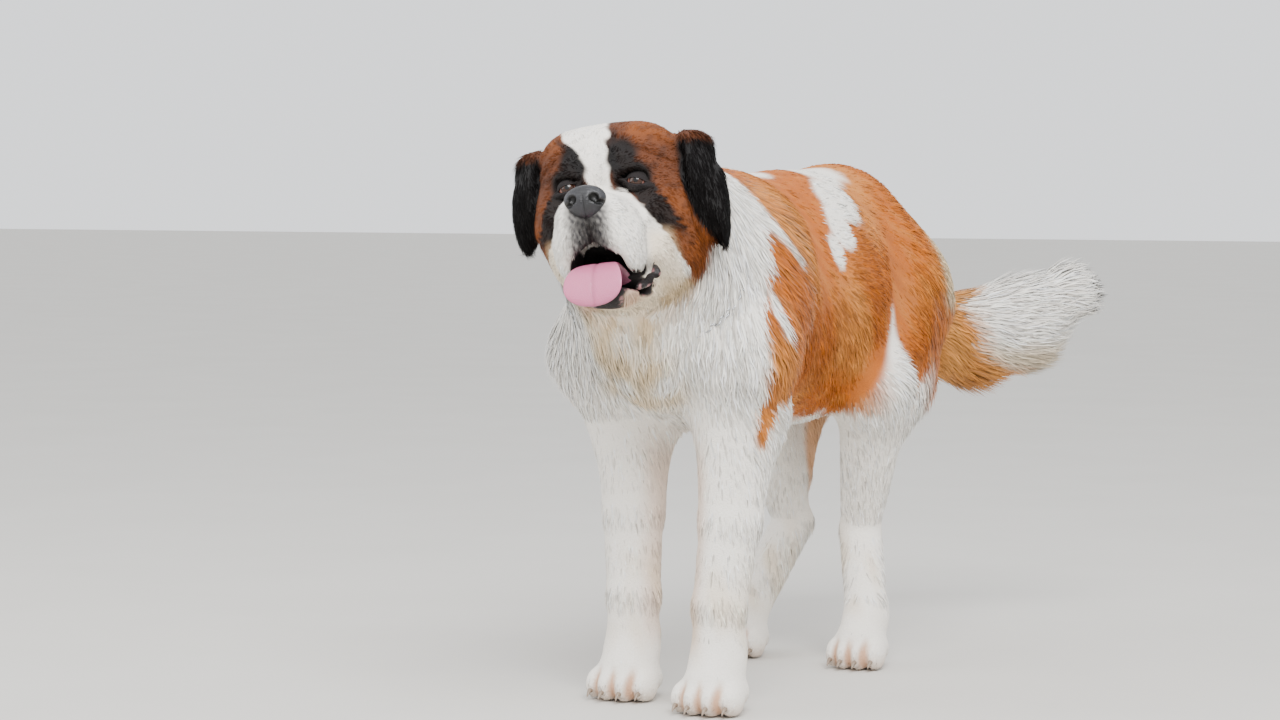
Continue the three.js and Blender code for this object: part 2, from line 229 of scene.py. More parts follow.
# A foot: a rod down from the leg, a ball for the pad and a ball for each toe.
def footRows(foot):
    x, y, width, length = foot["x"], foot["y"], foot["width"], foot["length"]
    rows = [
        (x, y + 22, 92, width * 0.34, x, y - 4, 44, width * 0.4, 1.0, 20),
        (x, y + 6, 28, width * 0.44, length * 0.42, 30, 14),
    ]
    return rows + [(tx, ty, 23, width * 0.16, length * 0.22, 25, 5) for tx, ty in footToes(foot)]


tailPath = np.array(
    [(0, 372, 632), (6, 440, 560), (34, 505, 508), (92, 575, 494), (158, 622, 514), (226, 650, 558)],
    float,
)
tailRadius = (44, 60, 76, 84, 86, 66)
tailEnds = [(*place, radius) for place, radius in zip(tailPath, tailRadius)]
tailRows = [(*start, *end, 1.0, 20) for start, end in zip(tailEnds[:-1], tailEnds[1:])]
bodyRows = trunk + [row for foot in feet.values() for row in legRows(foot)] + tailRows
footAll = [row for foot in feet.values() for row in footRows(foot)]

# How deep the skin lies below the masses in each region of the coat, in millimetres.
coatDepths = {
    "ear": 2.5,
    "face": 2.0,
    "skull": 4,
    "tail": 20,
    "foot": 2.0,
    "leg": 4,
    "ruff": 10,
    "thigh": 9,
    "trunk": 6,
}


# Soft shares of the coat's regions, which add up to 1: each region takes its share of what the
# ones before it have left.
def regionWeights(p):
    h = toHead(p)
    inHead = smooth(-np.linalg.norm((h - (0, 20, -30)) / (150, 160, 150), axis=-1), -1.08, -0.9)
    face = inHead * smooth(-h[..., 1], -95, -45)
    x, y, z = p[..., 0], p[..., 1], p[..., 2]
    tailShare = smooth(y, 395, 450) * smooth(z, 380, 430)
    leg = smooth(-z, -470, -310) * (1 - tailShare)
    foot = smooth(-z, -120, -70)
    thigh = smooth(y, 210, 300) * smooth(z, 330, 420) * smooth(-z, -640, -560) * (1 - tailShare)
    ruff = smooth(-y, 175, 260) * smooth(z, 420, 480) * smooth(-z, -860, -700)
    ear = smooth(-blended(ears, h), -16, -5) * smooth(np.abs(h[..., 0]), 96, 104)
    left = np.ones_like(x)
    shares = {}
    for name, share in zip(coatDepths, (ear, face, inHead, tailShare, foot, leg, ruff, thigh, 1.0)):
        shares[name] = left * share
        left = left * (1 - share)
    return shares


# The coat's depth at a place: the regions' depths, each by its share.
def coatDepth(p):
    shares = regionWeights(p)
    return sum(coatDepths[name] * share for name, share in shares.items())


# The face, in the head's own frame, where it looks along -Y. Balls are rows as above.
eyeStyle = {"spread": 46, "radius": 12.5, "shown": 13.6, "look": (0.10, -1.0, 0.0), "iris": 9.0, "pupil": 3.4}
eyeShift = {"left": np.array([3.5, 1.0, -3.0]), "right": np.array([-1.0, 1.0, -0.5])}
mouthStyle = {
    "cavity": (0, -30, -134, 35, 84, 40, 8),
    "bed": (0, -14, -145, 70, 62, 9, 8),
    "throat": (0, 20, -115, 46, 60, 36, 1),
}
eyeSocket = (46, -6, -1, 19, 16, 12, 6)
wrinkleStyle = {"brow": 2.0, "cheek": 1.6, "philtrum": 3.5, "stop": 3.5}


# The place mirrored to the left side. The right lip is drawn in closer.
def lipPlace(h):
    x = np.where(h[..., 0] > 0, h[..., 0], -1.25 * h[..., 0])
    return np.stack([x, h[..., 1], h[..., 2]], -1)


# The place or its mirror image, whichever has x above 0.
def bothAlike(h):
    return h * (np.sign(h[..., :1]) * (1, 0, 0) + (0, 1, 1))


# The head in its own frame. Sockets and mouth are taken out of the blended masses, wrinkles are
# waves that fade out round their place, and the lips are blended on.
def headField(h):
    upper = blended(skull, h)
    x, y, z = np.abs(h[..., 0]), h[..., 1], h[..., 2]
    upper = smoothMax(upper, -ballDistance(bothAlike(h), eyeSocket), 7)
    front = smooth(-y, -90, -30)
    stop = np.exp(-((x / 9) ** 2)) * smooth(z, -18, 0) * smooth(-z, -78, -50) * front
    brow = np.sin(z / 4.6 + x / 9) * smooth(x, 8, 22) * smooth(z, 24, 34) * smooth(-z, -72, -54) * front
    cheek = np.sin((x * 0.7 - z * 0.55 + y * 0.25) / 6.5)
    cheek = cheek * smooth(x, 52, 66) * smooth(-z, 6, 30) * smooth(-y, -70, -10)
    philtrum = np.exp(-((x / 3.2) ** 2)) * smooth(-z, 56, 64) * smooth(-y, 60, 84)
    upper = (
        upper
        + wrinkleStyle["stop"] * stop
        + wrinkleStyle["brow"] * brow
        + wrinkleStyle["cheek"] * cheek
        + wrinkleStyle["philtrum"] * philtrum
    )
    upper = smoothMax(upper, -ballDistance(h, mouthStyle["cavity"]), 8)
    lower = smoothMax(blended(jaw, h), -ballDistance(h, mouthStyle["bed"]), 8)
    lower = smoothMin(lower, blended(lipRows, lipPlace(h)) + 1.2 * np.sin(y / 3.5 + x / 5), 5)
    both = smoothMin(upper, lower, 8)
    return smoothMin(both, blended(ears, h), 10)


# The whole dog, negative inside the skin: the blended masses, drawn in by the coat's depth. The
# feet are cut off flat 1 mm above the ground.
def dogField(p):
    d = blended(bodyRows, p)
    feetOnly = np.maximum(blended(footAll, p), -(p[..., 2] - 1.0))
    d = smoothMin(d, feetOnly, 14)
    h = toHead(p)
    d = smoothMin(d, headField(h), 24)
    return d + coatDepth(p)


# The field's slope: (f(p + step) - f(p - step)) / 2 step along each axis.
def gradient(field, p, step=0.6):
    parts = []
    for axis in range(3):
        shift = np.zeros(3)
        shift[axis] = step
        parts.append(field(p + shift) - field(p - shift))
    return np.stack(parts, -1) / (2 * step)


# Newton steps to the field's surface: p - f n / |n|^2, no more than 4 mm a step.
def settle(field, p, rounds):
    for _ in range(rounds):
        n = gradient(field, p)
        size = np.maximum((n * n).sum(-1, keepdims=True), 0.2)
        move = -field(p)[..., None] * n / size
        p = p + move * np.minimum(1, 4 / np.maximum(np.linalg.norm(move, axis=-1, keepdims=True), 1e-9))
    return p


# A closed mesh of quads at field = 0: one point in each cell that the surface crosses, at the
# mean of its crossings, and a quad round each grid edge that it crosses.
def surfaceNet(field, low, high, cell):
    block = 12  # cells a side; blocks far from the surface aren't worked out
    low = np.array(low, float)
    blocks = np.ceil((np.array(high) - low) / cell / block).astype(int)
    values = np.full(blocks * block + 1, 9.0, np.float32)
    index = np.argwhere(np.ones(blocks, bool))
    middle = field(low + (index + 0.5) * block * cell)
    near = np.abs(middle) < block * cell * 0.9 + 26
    for i, j, k in index[~near & (middle < 0)] * block:
        values[i : i + block + 1, j : j + block + 1, k : k + block + 1] = -9
    inner = np.argwhere(np.ones((block + 1,) * 3, bool))
    cells = index[near] * block
    for start in range(0, len(cells), 40):
        q = (cells[start : start + 40, None] + inner).reshape(-1, 3)
        values[q[:, 0], q[:, 1], q[:, 2]] = field(low + q * cell)
    inside = values < 0
    corners = np.argwhere(np.ones((2, 2, 2), bool))
    views = [tuple(slice(c, n - 1 + c) for c, n in zip(corner, values.shape)) for corner in corners]
    count = sum(inside[view].astype(np.int8) for view in views)
    crossed = np.argwhere((count > 0) & (count < 8))
    number = np.full(count.shape, -1, np.int32)
    number[tuple(crossed.T)] = np.arange(len(crossed))
    value = np.stack([values[tuple((crossed + corner).T)] for corner in corners], 1)
    total, hits = np.zeros((len(crossed), 3)), np.zeros(len(crossed))
    for a in range(8):
        for b in range(a + 1, 8):
            if np.abs(corners[a] - corners[b]).sum() == 1:
                change = (value[:, a] < 0) != (value[:, b] < 0)
                t = value[:, a] / (value[:, a] - value[:, b] + 1e-12)
                total[change] += (corners[a] + t[:, None] * (corners[b] - corners[a]))[change]
                hits[change] += 1
    points = low + (crossed + total / hits[:, None]) * cell
    quads = []
    for axis in range(3):
        u, v = (axis + 1) % 3, (axis + 2) % 3
        first = tuple(slice(0, -1) if i == axis else slice(None) for i in range(3))
        second = tuple(slice(1, None) if i == axis else slice(None) for i in range(3))
        for flip, mask in ((0, inside[first] & ~inside[second]), (1, ~inside[first] & inside[second])):
            edge = np.argwhere(mask)
            edge = edge[(edge[:, u] > 0) & (edge[:, v] > 0)]
            edge = edge[(edge[:, u] < values.shape[u] - 1) & (edge[:, v] < values.shape[v] - 1)]
            ring = []
            for du, dv in ((0, 0), (1, 0), (1, 1), (0, 1)):
                q = edge.copy()
                q[:, u] -= du
                q[:, v] -= dv
                ring.append(number[tuple(q.T)])
            ring = np.stack(ring, 1)
            quads.append(ring[:, ::-1] if flip else ring)
    return points, np.concatenate(quads)


# How far forward the plain head lies at a place across it and up it.
def faceFront(x, z):
    reach = np.linspace(60, -150, 2200)
    line = np.stack([0 * reach + x, reach, 0 * reach + z], -1)
    return line[np.argmax(blended(skull, line) > 0), 1]


eyeCentres = {}
for side, sideName in ((1, "left"), (-1, "right")):
    x = side * eyeStyle["spread"]
    eyeCentres[sideName] = np.array([x, faceFront(x, 0) + eyeStyle["radius"] * 0.7, 0])
# The left eye's solid tells where the dog's own origin lies in the shared frame.
eyeLow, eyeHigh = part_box("eye_left")
originShift = (np.array(eyeLow) + np.array(eyeHigh)) / 2 - fromHead(eyeCentres["left"]) / 1000
originShift[2] = 0


# From millimetres to the shared frame's metres: p / 1000 + the shift.
def toFrame(p):
    return np.asarray(p) / 1000 + originShift


def addObject(name, data):
    made = bpy.data.objects.new(name, data)
    bpy.context.scene.collection.objects.link(made)
    return made


# A smooth mesh at the origin, from points in millimetres and an array of faces.
def addMesh(name, points, faces, material):
    mesh = bpy.data.meshes.new(name)
    mesh.from_pydata(toFrame(points).tolist(), [], faces.tolist())
    mesh.polygons.foreach_set("use_smooth", [True] * len(mesh.polygons))
    mesh.materials.append(material)
    made = addObject(name, mesh)
    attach(made, "root")
    return made


# One output of a shader node. Sums, differences and products of it add Math nodes.
class Value:
    def __init__(self, shader, plug):
        self.shader = shader
        self.plug = plug

    def __add__(self, other):
        return self.shader.math("ADD", self, other)

    def __mul__(self, other):
        return self.shader.math("MULTIPLY", self, other)

    def __rsub__(self, other):
        return self.shader.math("SUBTRACT", other, self)

    __radd__ = __add__
    __rmul__ = __mul__

    # 0 below low, 1 above high, smooth between.
    def ramp(self, low, high):
        node = self.shader.add("ShaderNodeMapRange", interpolation_type="SMOOTHSTEP")
        for name, value in (("Value", self), ("From Min", low), ("From Max", high)):
            self.shader.link(node.inputs[name], value)
        return Value(self.shader, node.outputs["Result"])


# A node material with one Principled surface.
class Shader:
    def __init__(self, name):
        self.material = bpy.data.materials.new(name)
        self.material.use_nodes = True
        self.nodes = self.material.node_tree.nodes
        self.surface = self.nodes["Principled BSDF"]

    def add(self, kind, **settings):
        node = self.nodes.new(kind)
        for name, value in settings.items():
            setattr(node, name, value)
        return node

    def link(self, socket, value):
        if isinstance(value, Value):
            self.material.node_tree.links.new(value.plug, socket)
        else:
            socket.default_value = value

    def math(self, operation, first, second):
        node = self.add("ShaderNodeMath", operation=operation)
        self.link(node.inputs[0], first)
        self.link(node.inputs[1], second)
        return Value(self, node.outputs[0])

    def place(self):
        return Value(self, self.add("ShaderNodeTexCoord").outputs["Object"])

    def attribute(self, name, output="Color"):
        return Value(self, self.add("ShaderNodeAttribute", attribute_name=name).outputs[output])

    def noise(self, scale, detail=3.0):
        node = self.add("ShaderNodeTexNoise")
        self.link(node.inputs["Vector"], self.place())
        self.link(node.inputs["Scale"], scale)
        self.link(node.inputs["Detail"], detail)
        return Value(self, node.outputs[0])

    def cells(self, scale):
        node = self.add("ShaderNodeTexVoronoi")
        self.link(node.inputs["Vector"], self.place())
        self.link(node.inputs["Scale"], scale)
        return Value(self, node.outputs["Distance"])

    def mix(self, share, first, second, blend="MIX"):
        node = self.add("ShaderNodeMix", data_type="RGBA", blend_type=blend)
        for index, value in ((0, share), (6, first), (7, second)):
            self.link(node.inputs[index], value)
        return Value(self, node.outputs[2])

    def bump(self, height, distance):
        node = self.add("ShaderNodeBump")
        self.link(node.inputs["Height"], height)
        self.link(node.inputs["Distance"], distance)
        self.link(node.inputs["Strength"], 1.0)
        return Value(self, node.outputs[0])

    # Sets the surface's sockets, given with underscores for spaces.
    def finish(self, **sockets):
        for name, value in sockets.items():
            self.link(self.surface.inputs[name.replace("_", " ")], value)
        return self.material


# A colour of six hex digits, as linear light.
def rgb(text):
    parts = np.array([int(text[i : i + 2], 16) / 255 for i in (0, 2, 4)])
    return np.where(parts <= 0.04045, parts / 12.92, ((parts + 0.055) / 1.055) ** 2.4)


# The same colour with its fourth part, for a socket.
def flat(text):
    return (*rgb(text), 1)


# Hair: its colour comes with each tuft, and varies a little with the place.
def coatMaterial(name, roughness, sheen, specular):
    shader = Shader(name)
    fine = shader.noise(900.0, 2.0)
    tone = shader.mix(0.2 * fine, shader.attribute("coatColour"), flat("8a7a6a"), "MULTIPLY")
    return shader.finish(
        Base_Color=tone, Roughness=roughness, Sheen_Weight=sheen, Specular_IOR_Level=specular
    )


# Skin takes the coat's colours, and is glossier where it is wet.
def skinMaterial():
    shader = Shader("skin")
    wet = shader.attribute("wet", "Fac")
    fine = shader.noise(420.0, 4.0)
    colour = shader.mix(0.25 * fine, shader.attribute("coatColour"), flat("8a7a6a"), "MULTIPLY")
    return shader.finish(
        Base_Color=colour,
        Roughness=0.85 - 0.55 * wet,
        Normal=shader.bump(fine, 0.0015),
        Specular_IOR_Level=0.35,
    )


# Black leather with a pebbled grain, and painted shade that makes the inside of the nostrils nearly black.
def noseMaterial():
    shader = Shader("nose leather")
    grain = shader.cells(620.0)
    colour = shader.mix(shader.noise(60.0).ramp(0.35, 0.7), flat("101013"), flat("202025"))
    colour = shader.mix(shader.attribute("painted_nostril_shade", "Fac"), colour, flat("030303"))
    return shader.finish(
        Base_Color=colour, Roughness=0.3 + 0.25 * grain, Normal=shader.bump(grain, 0.0006), Coat_Weight=0.15
    )


# Wet pink tongue with a fine grain, and painted shade: darker along the groove and on the root inside the
# mouth.
def tongueMaterial():
    shader = Shader("tongue flesh")
    grain = shader.cells(900.0)
    # Painted shade, in the groove and on the root.
    dark = shader.attribute("groove", "Fac")
    colour = shader.mix(dark, flat("c2678a"), flat("72344a"))
    return shader.finish(
        Base_Color=shader.mix(0.5 * shader.noise(90.0), colour, flat("b4607f")),
        Roughness=0.32 + 0.2 * grain,
        Normal=shader.bump(grain, 0.0005),
        Subsurface_Weight=0.15,
        Subsurface_Radius=(0.006, 0.002, 0.002),
        Coat_Weight=0.3,
    )


# Pupil, iris, its dark rim and the ball, by how far a place is from the middle of the pupil.
def eyeMaterial():
    shader = Shader("eye")
    away = shader.attribute("gaze", "Fac")  # millimetres
    irisEdge, pupilEdge = eyeStyle["iris"], eyeStyle["pupil"]
    streaks = shader.noise(1500.0, 2.0)
    iris = shader.mix(streaks.ramp(0.35, 0.65), flat("331a0b"), flat("281307"))
    iris = shader.mix(away.ramp(irisEdge - 1.6, irisEdge), iris, flat("170c06"))
    ball = shader.mix(away.ramp(irisEdge - 0.2, irisEdge + 0.7), iris, flat("7a5248"))
    colour = shader.mix(away.ramp(pupilEdge - 0.4, pupilEdge + 0.4), flat("040404"), ball)
    return shader.finish(
        Base_Color=colour,
        Roughness=0.12,
        Specular_IOR_Level=0.3,
        Coat_Weight=0.35,
        Coat_Roughness=0.03,
    )


# Horn, steel or floor: one colour with darker spots, a little rougher there.
def plainMaterial(name, colour, roughness, grain, dark, metallic=0.0, coat=0.0):
    shader = Shader(name)
    spots = shader.noise(grain)
    tone = shader.mix(0.35 * spots, flat(colour), flat(dark))
    return shader.finish(
        Base_Color=tone,
        Roughness=roughness + 0.15 * spots,
        Metallic=metallic,
        Normal=shader.bump(spots, 0.0003),
        Coat_Weight=coat,
    )


# Colours of the coat and of the mouth.
coatColours = {
    "white": rgb("f6f1e8"),
    "cream": rgb("d9c19a"),
    "orange": rgb("b4601c"),
    "tan": rgb("cc8a45"),
    "brown": rgb("8a4713"),
    "temple": rgb("5c321b"),
    "black": rgb("0e0c0c"),
    "grizzle": rgb("3c3a3c"),
    "rim": rgb("191314"),
    # Painted shade: the inside of the mouth, nearly black.
    "flesh_in_painted_shade": rgb("0d0304"),
    "gum": rgb("9a6a6c"),
    "stain_and_shade": rgb("c99a78"),
}
# White places on the trunk, and brown places where painted shade darkens the flank, as soft balls:
# (x, y, z, half x, half y, half z).
paintedShadePlaces = [(150, 40, 640, 70, 46, 120), (150, -120, 500, 80, 90, 90)]
whitePlaces = [
    (30, 105, 790, 60, 66, 60),
    (92, 44, 728, 50, 54, 46),
    (120, -8, 686, 38, 28, 38),
    (138, -46, 652, 28, 18, 30),
    (-40, 110, 790, 50, 60, 46),
    (0, -120, 790, 60, 90, 40),
    (-150, -290, 640, 26, 26, 60),
    (-130, 40, 720, 44, 60, 50),
]
# Thin white marks on the left shoulder, as limbs.
whiteSlivers = [
    (112, -284, 716, 20, 158, -238, 637, 7, 1.0, 1),
    (155, -326, 594, 4, 176, -320, 540, 14, 1.0, 1),
]
# The black round the eyes, in the head's frame: soft balls, each with how soft its edge is.
eyePatches = [
    (44, 0, 4, 26, 60, 22, 0.28),
    (44, 0, 4, 28, 60, 24, 0.25),
    (34, 0, 28, 22, 60, 34, 0.3),
    (-44, 0, 4, 28, 60, 24, 0.25),
    (-34, 0, 28, 22, 60, 34, 0.3),
]


# 1 inside a ball and 0 outside, smooth over a share soft of its size; wander moves its edge.
def blobShare(p, row, soft, wander=0.0):
    d = np.linalg.norm((p - row[:3]) / np.array(row[3:6]), axis=-1) + wander
    return 1 - smooth(d, 1 - soft, 1 + soft)


# The colour of the coat at places on the dog, in linear light: orange, and coats of paint over it,
# each colour + share (paint - colour), with shares that are smooth steps along the dog.
def markings(p):
    colour = np.broadcast_to(coatColours["orange"], p.shape).copy()

    def paint(name, share):
        nonlocal colour
        colour = colour + (coatColours[name] - colour) * np.clip(share, 0, 1)[..., None]

    x, y, z = p[..., 0], p[..., 1], p[..., 2]
    left = smooth(x, -40, 40)
    wander = 14 * sineNoise(p, 70, 3) + 6 * sineNoise(p, 26, 4)
    fine = 0.10 * sineNoise(p, 45, 5)
    paint("tan", 0.6 * smooth(sineNoise(p, 210, 6), -0.2, 0.9))
    streaks = sineNoise(p @ turn("x", 25).T * (1, 0.3, 1), 20, 19)
    paint("brown", 0.3 * smooth(streaks, 0.0, 0.8))
    paint("tan", 0.25 * smooth(-streaks, 0.1, 0.9))
    # Painted shade: the flank is darker brown where it lies in shadow.
    for row in paintedShadePlaces:
        paint("brown", 0.5 * blobShare(p, row, 0.6, fine))
    # Neck, chest and shoulder front are white, down to the elbow, and the belly too.
    heights = (377, 422, 478, 542, 616, 691, 760)
    leftFront = np.interp(z, heights, (-338, -347, -366, -358, -320, -276, -270))
    stripBack = np.interp(z, (371, 421, 465, 520, 584), (-328, -323, -329, -339, -332))
    front = leftFront + (-322 - leftFront) * (1 - left)
    paint("white", 1 - smooth(y - front + 0.35 * wander, -7, 7))
    outer = smooth(x, 100, 114) * smooth(z, 366, 384)
    strip = outer * smooth(y - leftFront, -8, 4) * (1 - smooth(y - stripBack, 0, 12))
    low = np.where(y < -215, 442, 398)
    paint("white", smooth(-z - 0.6 * wander, -low - 10, -low + 10) * (1 - strip))
    for row in whiteSlivers:
        paint("white", left * smooth(-limbDistance(p, row) + 0.2 * wander, -4, 4))
    for row in whitePlaces:
        paint("white", blobShare(p, row, 0.2, fine))
    # Thigh: a white wedge up the front, and cream hair behind.
    hind = smooth(y, 60, 110)
    wedge = 1 - smooth(np.abs(y - 118 - 0.1 * (z - 450)) - 52 * smooth(-z, -560, -400), -8, 14)
    paint("white", hind * wedge * smooth(-z - wander, -580, -540))
    paint("white", hind * smooth(-z - wander + 0.5 * (y - 200), -420, -380) * smooth(-y, -330, -260))
    behind = smooth(y, 300, 335) * smooth(np.abs(x), 30, 90)
    paint("cream", behind * smooth(z, 540, 570) * smooth(-z, -700, -672))
    paint("white", smooth(-z, -330, -290))
    paint("tan", 0.8 * smooth(y, 240, 262) * smooth(z, 210, 300) * smooth(-x, -20, 20))
    # Inside of the forelegs and the middle of the chest are darker.
    inner = smooth(-np.abs(x), -76, -50) * smooth(-y, 180, 220)
    paint("stain_and_shade", 0.45 * inner * smooth(z, 60, 120) * smooth(-z, -420, -330))
    wrist = smooth(z, 50, 110) * smooth(-z, -250, -150)
    paint("cream", np.clip(0.15 + 0.4 * sineNoise(p * (1, 1, 0.4), 50, 20), 0, 0.45) * wrist)
    chest = smooth(-y, 330, 390) * smooth(z, 380, 430) * smooth(-np.abs(x + 20), -95, -40)
    paint("cream", np.clip(0.6 + 0.6 * sineNoise(p, 46, 7), 0, 0.95) * chest)
    throat = smooth(-y, 430, 480) * smooth(-z, -640, -590) * smooth(z, 520, 570)
    paint("tan", np.clip(0.45 + 0.6 * sineNoise(p, 38, 17), 0, 0.8) * throat)
    # Painted shade between the toes, and darker low on each foot, near the ground.
    for foot in feet.values():
        toes = footToes(foot)
        for (ax, ay), (bx, by) in zip(toes[:-1], toes[1:]):
            paint("stain_and_shade", 0.9 * blobShare(p, ((ax + bx) / 2, (ay + by) / 2 - 16, 22, 6, 26, 24), 0.5))
        paint("stain_and_shade", 0.35 * blobShare(p, (foot["x"], foot["y"] - 20, 8, 60, 60, 18), 0.5))
    # Tail: tan at its root and below, white above and at the tip.
    tail = smooth(y, 400, 440) * smooth(z, 380, 420)
    tip = tail * smooth(x + 0.4 * (z - 530) + 0.8 * wander, 122, 158)
    paint("tan", tail)
    paint("orange", 0.3 * tail * smooth(sineNoise(p, 60, 16), -0.2, 0.8))
    paint("white", tip)
    paint("cream", 0.7 * tip * smooth(-z, -500, -460))

    # The head, in its own frame.
    h = toHead(p)
    a, b, c = h[..., 0], h[..., 1], h[..., 2]
    s = np.abs(a)
    near = smooth(-np.linalg.norm((h - (0, 20, -30)) / (165, 160, 160), axis=-1), -1.12, -1.0)
    near = np.maximum(near, smooth(-blended(ears, h), -9, -3))
    headColour = colour
    colour = np.broadcast_to(coatColours["temple"], p.shape).copy()
    wave = 3.5 * sineNoise(h, 24, 8)
    paint("orange", 0.25 * smooth(c, 40, 74) * smooth(s, 30, 50))
    paint("orange", 0.2 * smooth(s, 74, 100) * smooth(-c, -10, 40))
    paint("black", 0.3 * smooth(sineNoise(h * (1, 0.4, 1), 16, 18), 0.0, 0.8))
    ragged = 3 * sineNoise(h, 12, 9)
    paint("black", 0.97 * np.max([blobShare(h, row[:6], row[6]) for row in eyePatches], axis=0))
    run = 1 - smooth(np.abs(s - 52 - 0.5 * -c) + ragged, 13, 22)
    paint("black", 0.95 * run * smooth(-c, 0, 10) * smooth(c, -84, -62))
    # The blaze: white up the middle, with a black line beside it.
    fromBlaze = np.abs(a + 18 * smooth(c, 30, 85) + 3 * smooth(c, 10, 40))
    blazeWidth = 14 + 4 * smooth(c, 0, 38) + 15 * smooth(c, 36, 80) + 30 * smooth(-c, 10, 34)
    edge = fromBlaze + wave - blazeWidth
    beside = smooth(edge, 0, 3) * (1 - smooth(edge, 10, 18))
    paint("black", 0.8 * beside * smooth(c, 6, 20) * smooth(-c, -84, -60) * smooth(-b, -90, -40))
    paint("white", 1 - smooth(edge, -3, 4))
    # The muzzle is white below an edge that falls towards the cheeks.
    whiteEdge = -12 - 1.25 * np.clip(s - 34, 0, 36) - 1.6 * np.clip(s - 70, 0, 16)
    whiteEdge = whiteEdge - 3.7 * np.clip(s - 86, 0, 40) + ragged
    paint("white", smooth(whiteEdge - c, -3, 5) * smooth(-b, -96, -76))
    paint("white", smooth(-b + 0.25 * c, 12, 24) * smooth(-c, 10, 24))
    paint("cream", 0.7 * smooth(-c, 122, 140) * smooth(b, -40, 0))
    # Darker under the chin.
    paint("stain_and_shade", 0.75 * smooth(-c, 140, 156) * smooth(-b, -60, 20))
    # Cream on the lower cheek: partly the coat's own cream and partly painted shade in the crease between
    # flew and cheek.
    cheek = smooth(s, 50, 64) * (1 - smooth(s, 84, 96))
    paint("cream", 0.55 * cheek * smooth(b, -14, 6) * smooth(-c, 62, 84))
    # Grey and black round the nose, and black ears.
    lips = smooth(-b, 46, 70) * smooth(-c, 42, 56) * smooth(-s - 0.6 * ragged, -40, -20)
    paint("grizzle", lips * (0.88 + 0.12 * sineNoise(h, 6, 10)))
    paint("black", 0.75 * smooth(-b, 50, 74) * smooth(-c, 50, 60) * smooth(-s - 0.6 * ragged, -27, -8))
    paint("white", smooth(b, 120, 150) * smooth(-s, -80, -40))
    ear = smooth(-blended(ears, h), -9, -3) * smooth(s, 92, 102)
    paint("black", ear)
    paint("temple", 0.75 * ear * smooth(c + ragged, 52, 68))
    colour = headColour + (colour - headColour) * near[..., None]
    return colour


# How much a place in the head's frame is lip rim, and how much inside the mouth.
def mouthShares(h):
    gap = np.minimum(ballDistance(h, mouthStyle["cavity"]), ballDistance(h, mouthStyle["bed"]))
    inside = np.maximum(1 - smooth(gap, 3, 5.5), 1 - smooth(ballDistance(h, mouthStyle["throat"]), 0, 4))
    rim = (1 - smooth(gap, 5, 8)) * smooth(-h[..., 2], 92, 104)
    lip = 1 - smooth(blended(lipRows, lipPlace(h)), 1.5, 5)
    return np.maximum(rim, lip), inside


# The skin's net: its cell, its box, how far from the head's origin it is halved once, and the part
# of the face that is halved again. All in millimetres.
skinStyle = {
    "cell": 6.0,
    "low": (-215, -700, -8),
    "high": (310, 735, 860),
    "headReach": 195,
    "headBack": 150,
    "faceBack": 24,
    "faceLow": -185,
    "faceWide": 92,
}


# The skin's points and triangles: the net of dogField, settled on it, and made finer at the head.
def buildSkin():
    style = skinStyle
    points, quads = surfaceNet(dogField, style["low"], style["high"], style["cell"])
    points = settle(dogField, points, 2)
    mesh = bmesh.new()
    made = [mesh.verts.new(p) for p in points.tolist()]
    for quad in quads.tolist():
        mesh.faces.new([made[i] for i in quad])
    mesh.verts.ensure_lookup_table()

    # Halves every face whose corners all pass the test, and settles the new points.
    def refine(test):
        spots = np.array([v.co for v in mesh.verts])
        inside = test(toHead(spots))
        mesh.verts.index_update()
        edges = [e for e in mesh.edges if inside[e.verts[0].index] and inside[e.verts[1].index]]
        bmesh.ops.subdivide_edges(mesh, edges=edges, cuts=1, use_grid_fill=True)
        mesh.verts.ensure_lookup_table()
        mesh.verts.index_update()
        spots = np.array([v.co for v in mesh.verts])
        chosen = test(toHead(spots))
        spots[chosen] = settle(dogField, spots[chosen], 2)
        for vertex, spot in zip(mesh.verts, spots.tolist()):
            vertex.co = spot

    def onHead(h):
        return (h[:, 1] < style["headBack"]) & (np.linalg.norm(h, axis=1) < style["headReach"])

    def onFace(h):
        front = (h[:, 1] < style["faceBack"]) & (h[:, 2] > style["faceLow"])
        return front & (np.abs(h[:, 0]) < style["faceWide"])

    refine(onHead)
    refine(onFace)
    bmesh.ops.triangulate(mesh, faces=mesh.faces[:])
    bmesh.ops.recalc_face_normals(mesh, faces=mesh.faces[:])
    mesh.verts.ensure_lookup_table()
    mesh.verts.index_update()
    points = np.array([v.co for v in mesh.verts])
    triangles = np.array([[v.index for v in f.verts] for f in mesh.faces])
    mesh.free()
    return points, triangles


def setColour(mesh, name, values):
    layer = mesh.attributes.new(name, "FLOAT_COLOR", "POINT")
    values = np.column_stack([values, np.ones(len(values))])
    layer.data.foreach_set("color", values.astype(np.float32).ravel())


def setNumber(mesh, name, values):
    layer = mesh.attributes.new(name, "FLOAT", "POINT")
    layer.data.foreach_set("value", np.asarray(values, np.float32).ravel())


skinPoints, skinTriangles = buildSkin()
print("skin", len(skinPoints), "points", len(skinTriangles), "triangles")
skin = addMesh("skin", skinPoints, skinTriangles, skinMaterial())
fleshNodes = ["head", "lower_jaw", "neck", "torso", "ear_left", "ear_right"]
fleshNodes += ["tail_base", "tail_middle", "tail_tip"]
for footName in feet:
    fleshNodes += [footName, footName.replace("leg", "paw")]
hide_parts(*fleshNodes)
# The lips are black with pink mottling low down, and the inside of the mouth is painted nearly black with
# shade.
skinColour = markings(skinPoints)
inHeadFrame = toHead(skinPoints)
rim, inside = mouthShares(inHeadFrame)
mottle = smooth(sineNoise(inHeadFrame, 11, 15), 0.1, 0.5) * smooth(-inHeadFrame[:, 2], 118, 136)
for share, name in ((rim, "rim"), (rim * mottle, "gum"), (inside, "flesh_in_painted_shade")):
    skinColour = skinColour + (coatColours[name] - skinColour) * share[:, None]
setColour(skin.data, "coatColour", skinColour)
setNumber(skin.data, "wet", rim * (1 - inside))

